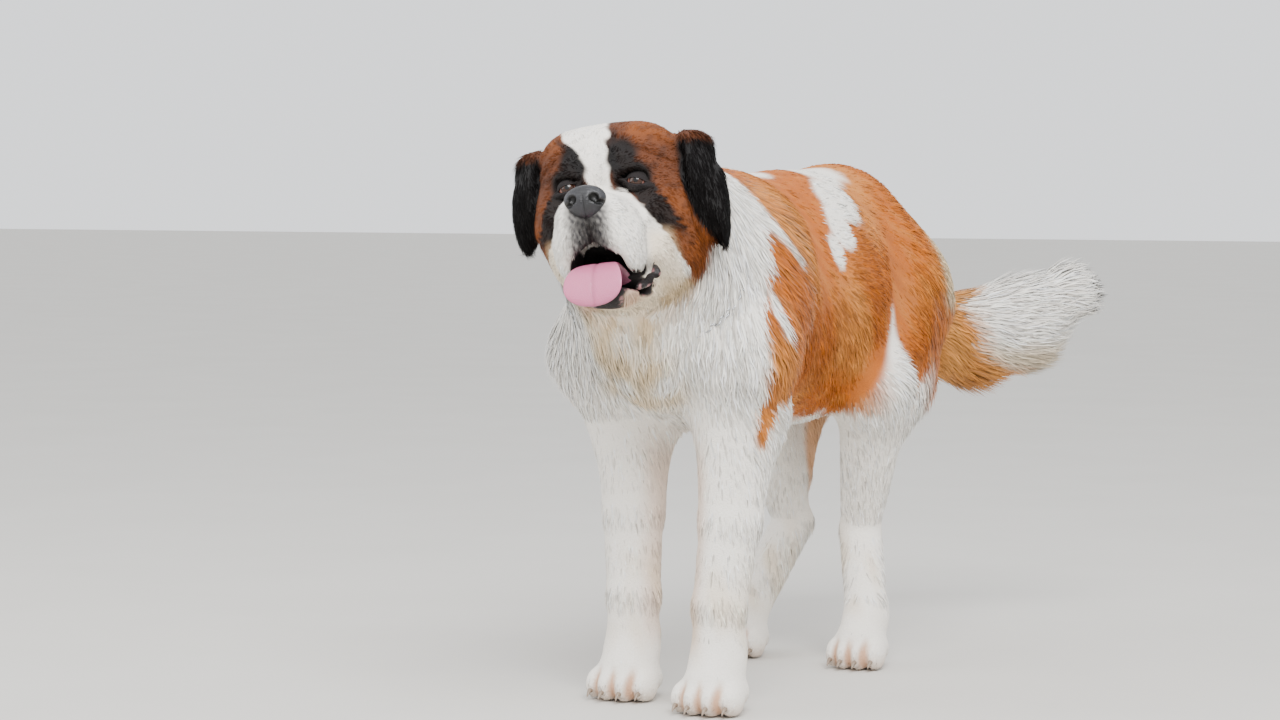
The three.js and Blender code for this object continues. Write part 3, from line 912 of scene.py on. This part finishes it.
# Each region's hair: tufts a square metre, length, width, lift in degrees, rings of points, curl,
# and how much neighbouring tufts draw together. Lengths in millimetres.
hairStyle = {
    "ear": (150000, 17, 1.7, 10, 2, 2.0, 0.25),
    "face": (170000, 9, 1.4, 12, 2, 0.7, 0.15),
    "skull": (150000, 19, 1.7, 14, 2, 2.0, 0.2),
    "trunk": (50000, 32, 3.0, 6, 2, 2.0, 0.1),
    "ruff": (72000, 36, 2.5, 8, 3, 3.5, 0.18),
    "thigh": (64000, 40, 2.6, 9, 3, 3.5, 0.2),
    "tail": (88000, 54, 2.6, 15, 3, 4.0, 0.15),
    "leg": (54000, 18, 2.4, 7, 2, 0.5, 0.0),
    "foot": (60000, 8, 1.9, 6, 2, 0.3, 0.0),
}
regionNames = list(coatDepths)
hairNames = ("density", "length", "width", "lift", "rings", "curl", "clump")
# What all tufts share: the most triangles in one piece, how deep a root is sunk, how far the tip
# falls to the skin and droops, turns of curl, the size of a clump, the spread of each measure, how
# much the tufts' tones differ, how dark the painted shade makes a root and how much lighter the
# painted light makes the tip.
tuftStyle = {
    "most": 190000,
    "sunk": 0.8,
    "fall": 0.10,
    "droop": 0.07,
    "turns": 4.2,
    "clumpCell": 17.0,
    "spread": {"length": 0.28, "width": 0.2, "lift": 0.35},
    "tone": 0.15,
    "rootPaintedShade": 0.92,
    "tipPaintedLight": 0.1,
}


# One column of the table at places: each region's value by its share.
def hairValues(shares, name):
    column = hairNames.index(name)
    return sum(shares[region] * hairStyle[region][column] for region in regionNames)


# A direction of length 1.
def towards(*way):
    return unit(np.array(way, float))


# Which way the hair lies, before it is laid along the skin: each region's way by its share. On
# the face it leads away from the nose, on the tail along its path.
def lieOf(p):
    shares = regionWeights(p)
    h = toHead(p)
    x, y, z = p[..., 0], p[..., 1], p[..., 2]
    ones = np.ones_like(x)
    fromNose = unit(h - np.array([0, -128, -36])) + np.stack([0 * x, 0.5 * ones, -0.2 * ones], -1)
    backwards = np.stack([0.3 * np.sign(h[..., 0]), ones, -0.45 * ones - 0.004 * (40 - h[..., 2])], -1)
    nearest = np.argmin(np.linalg.norm(p[..., None, :] - tailPath, axis=-1), axis=-1)
    tailWay = unit(np.gradient(tailPath, axis=0))[nearest] + np.array([0, 0, -0.25])
    frontness = smooth(-y, 280, 400)
    ruffWay = np.stack([0.0016 * x, 0.7 - 0.75 * frontness, -0.75 - 0.35 * frontness], -1)
    swirl = 0.35 * sineNoise(p, 160, 12)
    flankDown = 0.25 + 0.5 * smooth(-z, -700, -480)
    trunkWay = np.stack([0 * x, ones, -flankDown + swirl], -1)
    ways = {
        "ear": np.broadcast_to(towards(0.1, 0.2, -1) @ headTurn.T, p.shape),
        "face": unit(fromNose) @ headTurn.T,
        "skull": unit(backwards) @ headTurn.T,
        "tail": unit(tailWay),
        "foot": np.broadcast_to(towards(0, -0.7, -0.7), p.shape),
        "leg": np.broadcast_to(towards(0, 0.28, -1), p.shape),
        "ruff": unit(ruffWay),
        "thigh": np.broadcast_to(towards(0, 0.5, -1), p.shape),
        "trunk": unit(trunkWay),
    }
    return sum(shares[region][..., None] * ways[region] for region in regionNames)


# The body's box on the unwrap of the skin, and the edge that each tile leaves free.
bakeBox = {"low": (-230, -710, -5), "high": (330, 760, 870), "edge": 0.04}


# The number of the region with the largest share.
def strongest(shares):
    return np.argmax(np.stack([shares[name] for name in regionNames], -1), -1)


# Where a root lies on the unwrap of the skin: a tile for each region and facing, and in it
# the two other coordinates over the body's box.
def bakePlace(p, n):
    region = strongest(regionWeights(p))
    axis = np.argmax(np.abs(n), -1)
    facing = axis * 2 + (np.take_along_axis(n, axis[:, None], 1)[:, 0] > 0)
    low, high, edge = np.array(bakeBox["low"]), np.array(bakeBox["high"]), bakeBox["edge"]
    share = np.clip((p - low) / (high - low), 0, 1)
    first = np.where(axis == 0, share[:, 1], share[:, 0])
    second = np.where(axis == 2, share[:, 1], share[:, 2])
    u = (facing + edge + (1 - 2 * edge) * first) / 6
    v = (region + edge + (1 - 2 * edge) * second) / len(regionNames)
    return np.stack([u, v], -1)


# Roots spread over the skin by each region's density, with the skin's normals there. A triangle
# gets as many as its area asks for, and none at the eyes, nose, mouth and soles.
def sampleRoots():
    corners = skinPoints[skinTriangles]
    cross = np.cross(corners[:, 1] - corners[:, 0], corners[:, 2] - corners[:, 0])
    area = np.linalg.norm(cross, axis=1) / 2e6
    middle = corners.mean(1)
    want = area * hairValues(regionWeights(middle), "density")
    rimShare, insideShare = mouthShares(toHead(middle))
    want = want * (1 - np.clip(rimShare * 1.5 + insideShare * 2, 0, 1))
    eyeGap = [np.linalg.norm(toHead(middle) - centre, axis=1) for centre in eyeCentres.values()]
    eyeGap = np.min(eyeGap, axis=0)
    noseGap = np.linalg.norm((toHead(middle) - (0, -100, -46)) / (30, 20, 24), axis=1)
    want = want * (eyeGap > 19) * (noseGap > 1.0) * (middle[:, 2] > 4)
    count = np.floor(want + random.random(len(want))).astype(int)
    owner = np.repeat(np.arange(len(want)), count)
    a, b = random.random((2, len(owner)))
    over = a + b > 1
    a[over], b[over] = 1 - a[over], 1 - b[over]
    face = corners[owner]
    roots = face[:, 0] + a[:, None] * (face[:, 1] - face[:, 0])
    roots = roots + b[:, None] * (face[:, 2] - face[:, 0])
    return roots, unit(gradient(dogField, roots))


# Tapered three-sided blades. Along a blade of length L, at s from 0 to 1, its middle is
# root - sunk n + L s way - L s^2 (fall n + droop up) + curl s sin(phase + turns s) across
# + clump s^2 (meeting - root), where n is the skin's normal and meeting the middle of its clump.
def growTufts(roots, normals, rings):
    style = tuftStyle
    shares = regionWeights(roots)
    count = len(roots)

    # A measure of the regions, which varies from tuft to tuft by its spread.
    def varied(name):
        return hairValues(shares, name) * (1 + style["spread"][name] * (2 * random.random(count) - 1))

    length = varied("length")
    width = varied("width")
    lift = np.radians(varied("lift"))
    curl = hairValues(shares, "curl")
    clump = hairValues(shares, "clump")
    lie = lieOf(roots) + 0.10 * random.normal(size=roots.shape)
    lie = unit(lie - (lie * normals).sum(-1, keepdims=True) * normals)
    across = np.cross(normals, lie)
    way = np.cos(lift)[:, None] * lie + np.sin(lift)[:, None] * normals
    warp = np.stack([sineNoise(roots, 55, seed) for seed in (31, 32, 33)], -1)
    cells = np.floor(roots / style["clumpCell"] + 1.1 * warp).astype(int)
    _, cell = np.unique(cells, axis=0, return_inverse=True)
    cell = cell.ravel()
    clumps = np.stack([np.bincount(cell, roots[:, i]) for i in range(3)], -1)
    toMeeting = (clumps / np.bincount(cell)[:, None])[cell] - roots
    # Long hair curls in step with its neighbours, short hair each for itself.
    phase = sineNoise(roots, 90, 14) if rings == 3 else random.random(count)
    phase = 6.28 * phase + 0.5 * random.normal(size=count)
    s = np.linspace(0, 1, rings + 1)
    thick = np.array([0.85, 1.0, 0.8, 0.0]) if rings == 3 else np.array([1.0, 0.8, 0.0])
    points = []
    for at, size in zip(s, thick):
        middle = roots - normals * style["sunk"] + length[:, None] * at * way
        middle = middle - (length * style["fall"] * at * at)[:, None] * normals
        middle = middle + np.array([0, 0, -style["droop"]]) * (length * at * at)[:, None]
        middle = middle + (curl * at * np.sin(phase + style["turns"] * at))[:, None] * across
        middle = middle + (clump * at * at)[:, None] * toMeeting
        middle[:, 2] = np.maximum(middle[:, 2], 1.2)  # above the ground
        if size == 0:
            points.append(middle[:, None])
            continue
        half = (width * size / 2)[:, None]
        corners = (middle + half * across, middle - half * across, middle + 0.3 * half * normals)
        points.append(np.stack(corners, 1))
    points = np.concatenate(points, 1)
    faces = [(0, 1, 2)]
    for ring in range(rings - 1):
        base = ring * 3
        for i in range(3):
            j = (i + 1) % 3
            faces += [(base + i, base + 3 + i, base + j), (base + j, base + 3 + i, base + 3 + j)]
    base = (rings - 1) * 3
    faces += [(base + i, rings * 3, base + (i + 1) % 3) for i in range(3)]
    level = np.concatenate([np.repeat(s[:-1], 3), [1.0]])
    # Shading follows the skin below, as it does over a soft coat, with a little of each blade's own.
    shade = unit(normals + 0.3 * random.normal(size=normals.shape) + 0.2 * way)
    return points, np.array(faces), level, np.repeat(shade, points.shape[1], 0)


# One piece of the coat, with its colours, its place on the unwrap and its shading.
def addCoat(name, roots, normals, rings, material):
    points, faces, level, shade = growTufts(roots, normals, rings)
    count, corners = points.shape[:2]
    loops = (faces[None] + (np.arange(count) * corners)[:, None, None]).reshape(-1)
    mesh = bpy.data.meshes.new(name)
    mesh.vertices.add(count * corners)
    mesh.vertices.foreach_set("co", toFrame(points.reshape(-1, 3)).ravel())
    mesh.loops.add(len(loops))
    mesh.loops.foreach_set("vertex_index", loops)
    mesh.polygons.add(len(loops) // 3)
    mesh.polygons.foreach_set("loop_start", np.arange(0, len(loops), 3))
    mesh.polygons.foreach_set("use_smooth", np.ones(len(loops) // 3, bool))
    tone = np.clip(1 + tuftStyle["tone"] * random.normal(size=count), 0.65, 1.3)
    colour = markings(0.4 * roots + 0.6 * points[:, -1]) * tone[:, None]
    # Painted shade and light: each blade is darker at its root, down in the coat, and lighter towards its
    # tip.
    colour = colour[:, None] * (tuftStyle["rootPaintedShade"] + tuftStyle["tipPaintedLight"] * level)[None, :, None]
    setColour(mesh, "coatColour", np.clip(colour.reshape(-1, 3), 0, 0.93))
    besideRoot = 0.003 * np.stack([np.tile([0, 1, 0.5], 4)[:corners], level], -1)
    spots = bakePlace(roots, normals)[:, None] + besideRoot[None]
    layer = mesh.uv_layers.new(name="OFBake")
    layer.data.foreach_set("uv", spots.reshape(-1, 2)[loops].astype(np.float32).ravel())
    mesh.update()
    bent = mesh.attributes.new("custom_normal", "FLOAT_VECTOR", "POINT")
    bent.data.foreach_set("vector", shade.astype(np.float32).ravel())
    mesh.materials.append(material)
    coat = addObject(name, mesh)
    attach(coat, "root")
    print(name, count, "tufts", len(loops) // 3, "triangles")


# The whole coat, region by region, each in as many pieces as its triangles need.
def addCoats():
    roots, normals = sampleRoots()
    region = strongest(regionWeights(roots))
    short = coatMaterial("short coat", 0.62, 0.0, 0.06)
    long = coatMaterial("long coat", 0.58, 0.06, 0.15)
    for index, name in enumerate(regionNames):
        chosen = np.flatnonzero(region == index)
        rings = hairStyle[name][4]
        most = tuftStyle["most"] // (6 * rings - 2)  # a blade has 6 rings - 2 triangles
        for part, start in enumerate(range(0, len(chosen), most)):
            chunk = chosen[start : start + most]
            material = long if rings == 3 else short
            addCoat(f"{name}_coat_{part + 1}", roots[chunk], normals[chunk], rings, material)


# The lids' opening is an almond, wide to each side of the pupil, upper above and lower below it,
# and it droops outwards. rim is how far the lids stand up. Each step from the edge on the ball out
# to the skin is a share of the way, a rise, how dark it is and how wet.
lidStyle = {"wide": 12.2, "upper": 4.2, "lower": 4.6, "droop": 2.6, "rim": 1.3, "round": 72}
lidSteps = [
    (0, 0, 1, 0.8),
    (0.02, 0.8, 1, 0.5),
    (0.08, 1.5, 1, 0.2),
    (0.2, 1.9, 0.85, 0),
    (0.4, 1.9, 0.6, 0),
    (0.65, 1.3, 0.3, 0),
    (0.85, 0.4, 0.1, 0),
    (1, -1.2, 0, 0),
]


# Angles once round, the last one short of the first.
def roundAngles(count):
    return np.linspace(0, 2 * math.pi, count, endpoint=False)


# Quads of a grid of points, rows first: (r, c), (r, c + 1), (r + 1, c + 1), (r + 1, c), with the
# last column joined to the first. Copies of the grid follow one another in the points.
def gridFaces(rows, columns, closedRows=False, copies=1):
    index = np.arange(rows * columns).reshape(rows, columns)
    index = np.concatenate([index, index[:, :1]], 1)
    if closedRows:
        index = np.concatenate([index, index[:1]], 0)
    quads = np.stack([index[:-1, :-1], index[:-1, 1:], index[1:, 1:], index[1:, :-1]], -1).reshape(-1, 4)
    return (quads + (np.arange(copies) * rows * columns)[:, None, None]).reshape(-1, 4)


def gridMesh(name, spots, material):
    return addMesh(name, spots.reshape(-1, 3), gridFaces(*spots.shape[:2]), material)


# An eye: a ball that bulges a little at the pupil, with its lids.
def addEye(side, sideName, ballMaterial, lidMaterial):
    r = eyeStyle["shown"]
    centre = eyeCentres[sideName] + eyeShift[sideName] + (0, r - eyeStyle["radius"], 0)
    v, u = np.meshgrid(np.linspace(0, math.pi, 49), roundAngles(64), indexing="ij")
    sphere = np.stack([np.sin(v) * np.cos(u), np.sin(v) * np.sin(u), np.cos(v)], -1)
    look = unit(np.array(eyeStyle["look"]))
    away = np.linalg.norm(sphere - (sphere @ look)[..., None] * look, axis=-1) * r
    away = np.where(sphere @ look > 0, away, 40)
    bulge = 1 + 0.03 * np.exp(-((away / 6.5) ** 4))
    ball = fromHead(centre + r * sphere * bulge[..., None])
    eye = gridMesh(f"eyeball_{sideName}", ball, ballMaterial)
    setNumber(eye.data, "gaze", away.ravel())
    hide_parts(f"eye_{sideName}")
    # Lids: from the almond edge on the ball, over a rounded rim, out to the skin. No row comes
    # closer to the ball's middle than its radius and a little more.
    a = roundAngles(lidStyle["round"])
    high = np.where(np.sin(a) > 0, lidStyle["upper"], lidStyle["lower"])
    x = lidStyle["wide"] * np.cos(a) * side
    z = high * np.sin(a) * (0.75 + 0.25 * np.abs(np.sin(a))) - lidStyle["droop"] * (np.cos(a) + 0.4)
    onBall = np.stack([x, -np.sqrt(np.maximum((r + 0.7) ** 2 - x * x - z * z, 1)), z], -1)
    outer = np.stack([x * 2.1, 0 * x, z * 2.1 + 1.0 * np.sign(z)], -1) + centre
    reach = np.linspace(40, -60, 400)
    line = np.repeat(outer[:, None], len(reach), 1)
    line[..., 1] = reach
    outside = dogField(fromHead(line)) > 0
    outer[:, 1] = reach[np.argmax(outside, 1)] + 1.5
    inner = onBall + centre
    rows = []
    for share, rise, _, _ in lidSteps:
        row = inner + share * (outer - inner) + rise * lidStyle["rim"] * np.array([0, -1, 0]) - centre
        away = np.linalg.norm(row, axis=-1, keepdims=True)
        rows.append(centre + row * np.maximum(1, (r + 0.6 + 1.6 * min(share * 5, 1)) / away))
    spots = fromHead(np.stack(rows))
    lid = gridMesh(f"lids_{sideName}", spots, lidMaterial)
    dark, wet = np.array(lidSteps)[:, 2:].T
    colour = markings(spots.reshape(-1, 3)).reshape(spots.shape)
    colour = colour + (coatColours["rim"] - colour) * dark[:, None, None]
    setColour(lid.data, "coatColour", colour.reshape(-1, 3))
    setNumber(lid.data, "wet", np.repeat(wet, len(a)))


# The left nostril and its slit, as balls in the head's frame, and the nose's net.
nostrils = [(15.5, -118, -44, 6.6, 10, 6.2, 1), (23, -111, -50, 8, 8, 3.2, 1)]
noseStyle = {"low": (-36, -130, -84), "high": (36, -74, -16), "cell": 1.1}


# The nose's masses, less the nostrils and a narrow split below, as a net that is settled once.
def addNose():
    def field(h):
        d = blended(noseRows, h)
        for row in nostrils:
            d = smoothMax(d, -ballDistance(bothAlike(h), row), 3)
        split = np.exp(-((h[..., 0] / 1.3) ** 2)) * smooth(-h[..., 2], 34, 44)
        return d + 1.4 * split

    points, quads = surfaceNet(field, noseStyle["low"], noseStyle["high"], noseStyle["cell"])
    points = settle(field, points, 1)
    nose = addMesh("nose_leather", fromHead(points), quads, noseMaterial())
    # Painted shade: the deeper a place lies inside a nostril, the nearer to black it is painted.
    depth = np.min([ballDistance(bothAlike(points), row) for row in nostrils], axis=0)
    setNumber(nose.data, "painted_nostril_shade", 1 - smooth(depth, 0.6, 2.4))
    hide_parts("nose")


tongueStyle = {
    "path": [(12, -136), (-60, -122), (-92, -124), (-107, -150), (-106, -189)],  # y and z
    "middle": 2,
    "root": 27,  # half widths at the root and near the tip
    "tip": 40,
    "round": 0.8,  # where the round end starts
    "thick": 6.5,
    "cup": 0.004,
    "groove": 1.2,
    "grooveWide": 2.4,
}


# A flat tube along a Bezier curve in the head's middle plane. Its half width grows from root to
# tip, and both that and its thickness fall off as sqrt(1 - k^2.6) over the round end, k = 0 to 1.
def addTongue():
    style = tongueStyle
    path = np.array(style["path"], float)
    t = np.linspace(0, 1, 90)
    weights = np.stack([math.comb(4, i) * t**i * (1 - t) ** (4 - i) for i in range(5)], -1)
    middle = np.column_stack([np.full(len(t), style["middle"]), weights @ path])
    along = unit(np.gradient(middle, axis=0))
    across = np.array([1.0, 0, 0])
    up = np.cross(along, across)
    k = np.maximum(t - style["round"], 0) / (1 - style["round"])
    ending = np.sqrt(np.maximum(1 - k**2.6, 1e-4))
    half = (style["root"] + (style["tip"] - style["root"]) * smooth(t, 0.35, 0.8)) * ending
    thick = style["thick"] * ending**0.7
    u = roundAngles(96)
    x = half[:, None] * np.cos(u)
    lift = thick[:, None] * np.sin(u)
    groove = np.exp(-((x / style["grooveWide"]) ** 2))
    furrow = style["groove"] * groove * (np.sin(u) > 0) * ending[:, None]
    lift = lift + style["cup"] * x * x - furrow
    spots = middle[:, None] + x[..., None] * across + lift[..., None] * up[:, None]
    tongue = gridMesh("tongue_flesh", fromHead(spots), tongueMaterial())
    # Painted shade: darker along the groove and on the part of the tongue inside the mouth.
    shade = 0.4 * groove + 0.7 * (1 - smooth(t, 0.3, 0.5))[:, None]
    setNumber(tongue.data, "groove", np.clip(shade, 0, 1).ravel())
    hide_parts("tongue")


clawStyle = {"length": 12, "radius": 3.6, "colour": "8d7b6a", "rings": 7, "round": 10}


# A claw for each toe: rings round a middle that bends down as 3t - 12t^2, t = 0 to 1 along it, with
# a radius that falls as sqrt(1 - t).
def addClaws():
    starts = [
        (tx, ty - foot["length"] * 0.22 + 4, 15.0) for foot in feet.values() for tx, ty in footToes(foot)
    ]
    t = np.linspace(0, 1, clawStyle["rings"])
    bend = np.stack([0 * t, -clawStyle["length"] * t, 3 * t - 12 * t * t], -1)
    radius = clawStyle["radius"] * np.sqrt(1 - t) + 0.05
    a = roundAngles(clawStyle["round"])
    ring = radius[:, None, None] * np.stack([np.cos(a), 0 * a, np.sin(a)], -1)
    spots = np.array(starts)[:, None, None] + bend[:, None] + ring
    spots[..., 2] = np.maximum(spots[..., 2], 0.6)  # above the ground
    faces = gridFaces(len(t), len(a), copies=len(starts))
    horn = plainMaterial("claw horn", clawStyle["colour"], 0.4, grain=500.0, dark="5a4c40", coat=0.2)
    claws = addMesh("claws", spots.reshape(-1, 3), faces, horn)


# The chain's path lies in a plane through the centre, spanned by x and the drop. pitch is from link
# to link, link half a link's length, wide its width as a share of that, and wire half the steel.
chainStyle = {
    "centre": (-4, -350, 640),
    "drop": (0, -90, -130),
    "pitch": 8.0,
    "link": 5.6,
    "wide": 0.62,
    "wire": 1.1,
    "sunk": 16.5,
}


# Steel links round the lower neck. The path is where rays from the centre meet the trunk's masses,
# less sunk. Link i is a ring about its place on the path, drawn out along it, and every second link
# is turned a quarter round the path.
def addChain():
    centre, drop = np.array(chainStyle["centre"]), unit(np.array(chainStyle["drop"], float))
    angle = np.linspace(0, 2 * math.pi, 721)
    ways = np.cos(angle)[:, None] * np.array([1, 0, 0]) + np.sin(angle)[:, None] * drop
    reach = np.full(len(angle), 30.0)
    for _ in range(80):
        reach = reach - blended(trunk, centre + reach[:, None] * ways) * 0.7
    path = centre + (reach - chainStyle["sunk"])[:, None] * ways
    steps = np.r_[0, np.cumsum(np.linalg.norm(np.diff(path, axis=0), axis=1))]
    count = int(steps[-1] / chainStyle["pitch"]) // 2 * 2
    at = np.arange(count) * steps[-1] / count
    place = np.stack([np.interp(at, steps, path[:, i]) for i in range(3)], -1)
    along = unit(np.roll(place, -1, 0) - np.roll(place, 1, 0))
    out = unit(place - centre)
    out = unit(out - (out * along).sum(-1, keepdims=True) * along)
    over = np.cross(along, out)
    odd = (np.arange(count) % 2 == 1)[:, None]
    wide, deep = np.where(odd, out, over), np.where(odd, over, out)
    u, v = np.meshgrid(roundAngles(18), roundAngles(8), indexing="ij")
    wire = chainStyle["wire"]
    x = (chainStyle["link"] + wire * np.cos(v)) * np.cos(u)
    y = (chainStyle["link"] * chainStyle["wide"] + wire * np.cos(v)) * np.sin(u)
    z = wire * np.sin(v)
    spots = place[:, None, None] + x[..., None] * along[:, None, None] + y[..., None] * wide[:, None, None]
    spots = spots + z[..., None] * deep[:, None, None]
    faces = gridFaces(*u.shape, closedRows=True, copies=count)[:, [0, 3, 2, 1]]  # facing out
    steel = plainMaterial("steel", "b4b6b9", 0.25, metallic=1.0, grain=300.0, dark="8c8e92")
    chain = addMesh("chain", spots.reshape(-1, 3), faces, steel)
    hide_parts("collar")
    print("chain", count, "links")


addCoats()
eyeball, lidSkin = eyeMaterial(), skin.data.materials[0]
for side, sideName in ((1, "left"), (-1, "right")):
    addEye(side, sideName, eyeball, lidSkin)
print("eyes made")
addNose()
addTongue()
addClaws()
print("nose, tongue and claws made")
addChain()

# The camera: degrees round from the front and down, its place and its lens. Lights: a place in
# metres, power and size.
cameraStyle = {"azimuth": 27.0, "down": 3.36, "place": (2047, -4450, 770), "lens": 90.56}
floorStyle = {"size": 60.0, "colour": "cfccc6"}
lightStyle = {"sky": 1.65, "key": (2.0, -3.0, 4.0, 380.0, 2.6), "fill": (-3.2, -2.4, 2.2, 60.0, 3.0)}


def addCamera():
    camera = addObject("camera", bpy.data.cameras.new("camera"))
    camera.data.lens = cameraStyle["lens"]
    camera.data.sensor_width = 36
    camera.location = toFrame(cameraStyle["place"])
    a, d = math.radians(cameraStyle["azimuth"]), math.radians(cameraStyle["down"])
    look = Vector((-math.sin(a) * math.cos(d), math.cos(a) * math.cos(d), -math.sin(d)))
    camera.rotation_euler = look.to_track_quat("-Z", "Y").to_euler()
    camera.data.clip_end = 60
    bpy.context.scene.camera = camera


def addStage():
    half = floorStyle["size"] / 2
    mesh = bpy.data.meshes.new("floor")
    corners = [(-half, -half, 0), (half, -half, 0), (half, half, 0), (-half, half, 0)]
    mesh.from_pydata(corners, [], [(0, 1, 2, 3)])
    mesh.materials.append(plainMaterial("floor", floorStyle["colour"], 0.8, dark="b8b5ae", grain=3.0))
    staged = [addObject("floor", mesh)]
    for name in ("key", "fill"):
        x, y, z, power, size = lightStyle[name]
        light = addObject(name, bpy.data.lights.new(name, "AREA"))
        light.data.energy = power
        light.data.size = size
        light.location = (x, y, z)
        light.rotation_euler = (Vector((0, 0, 0.45)) - light.location).to_track_quat("-Z", "Y").to_euler()
        staged.append(light)
    world = bpy.data.worlds.new("sky")
    world.use_nodes = True
    sky = world.node_tree.nodes["Background"]
    sky.inputs["Color"].default_value = flat("f1f3f6")
    sky.inputs["Strength"].default_value = lightStyle["sky"]
    bpy.context.scene.world = world


addCamera()
addStage()
print("camera and lights placed")
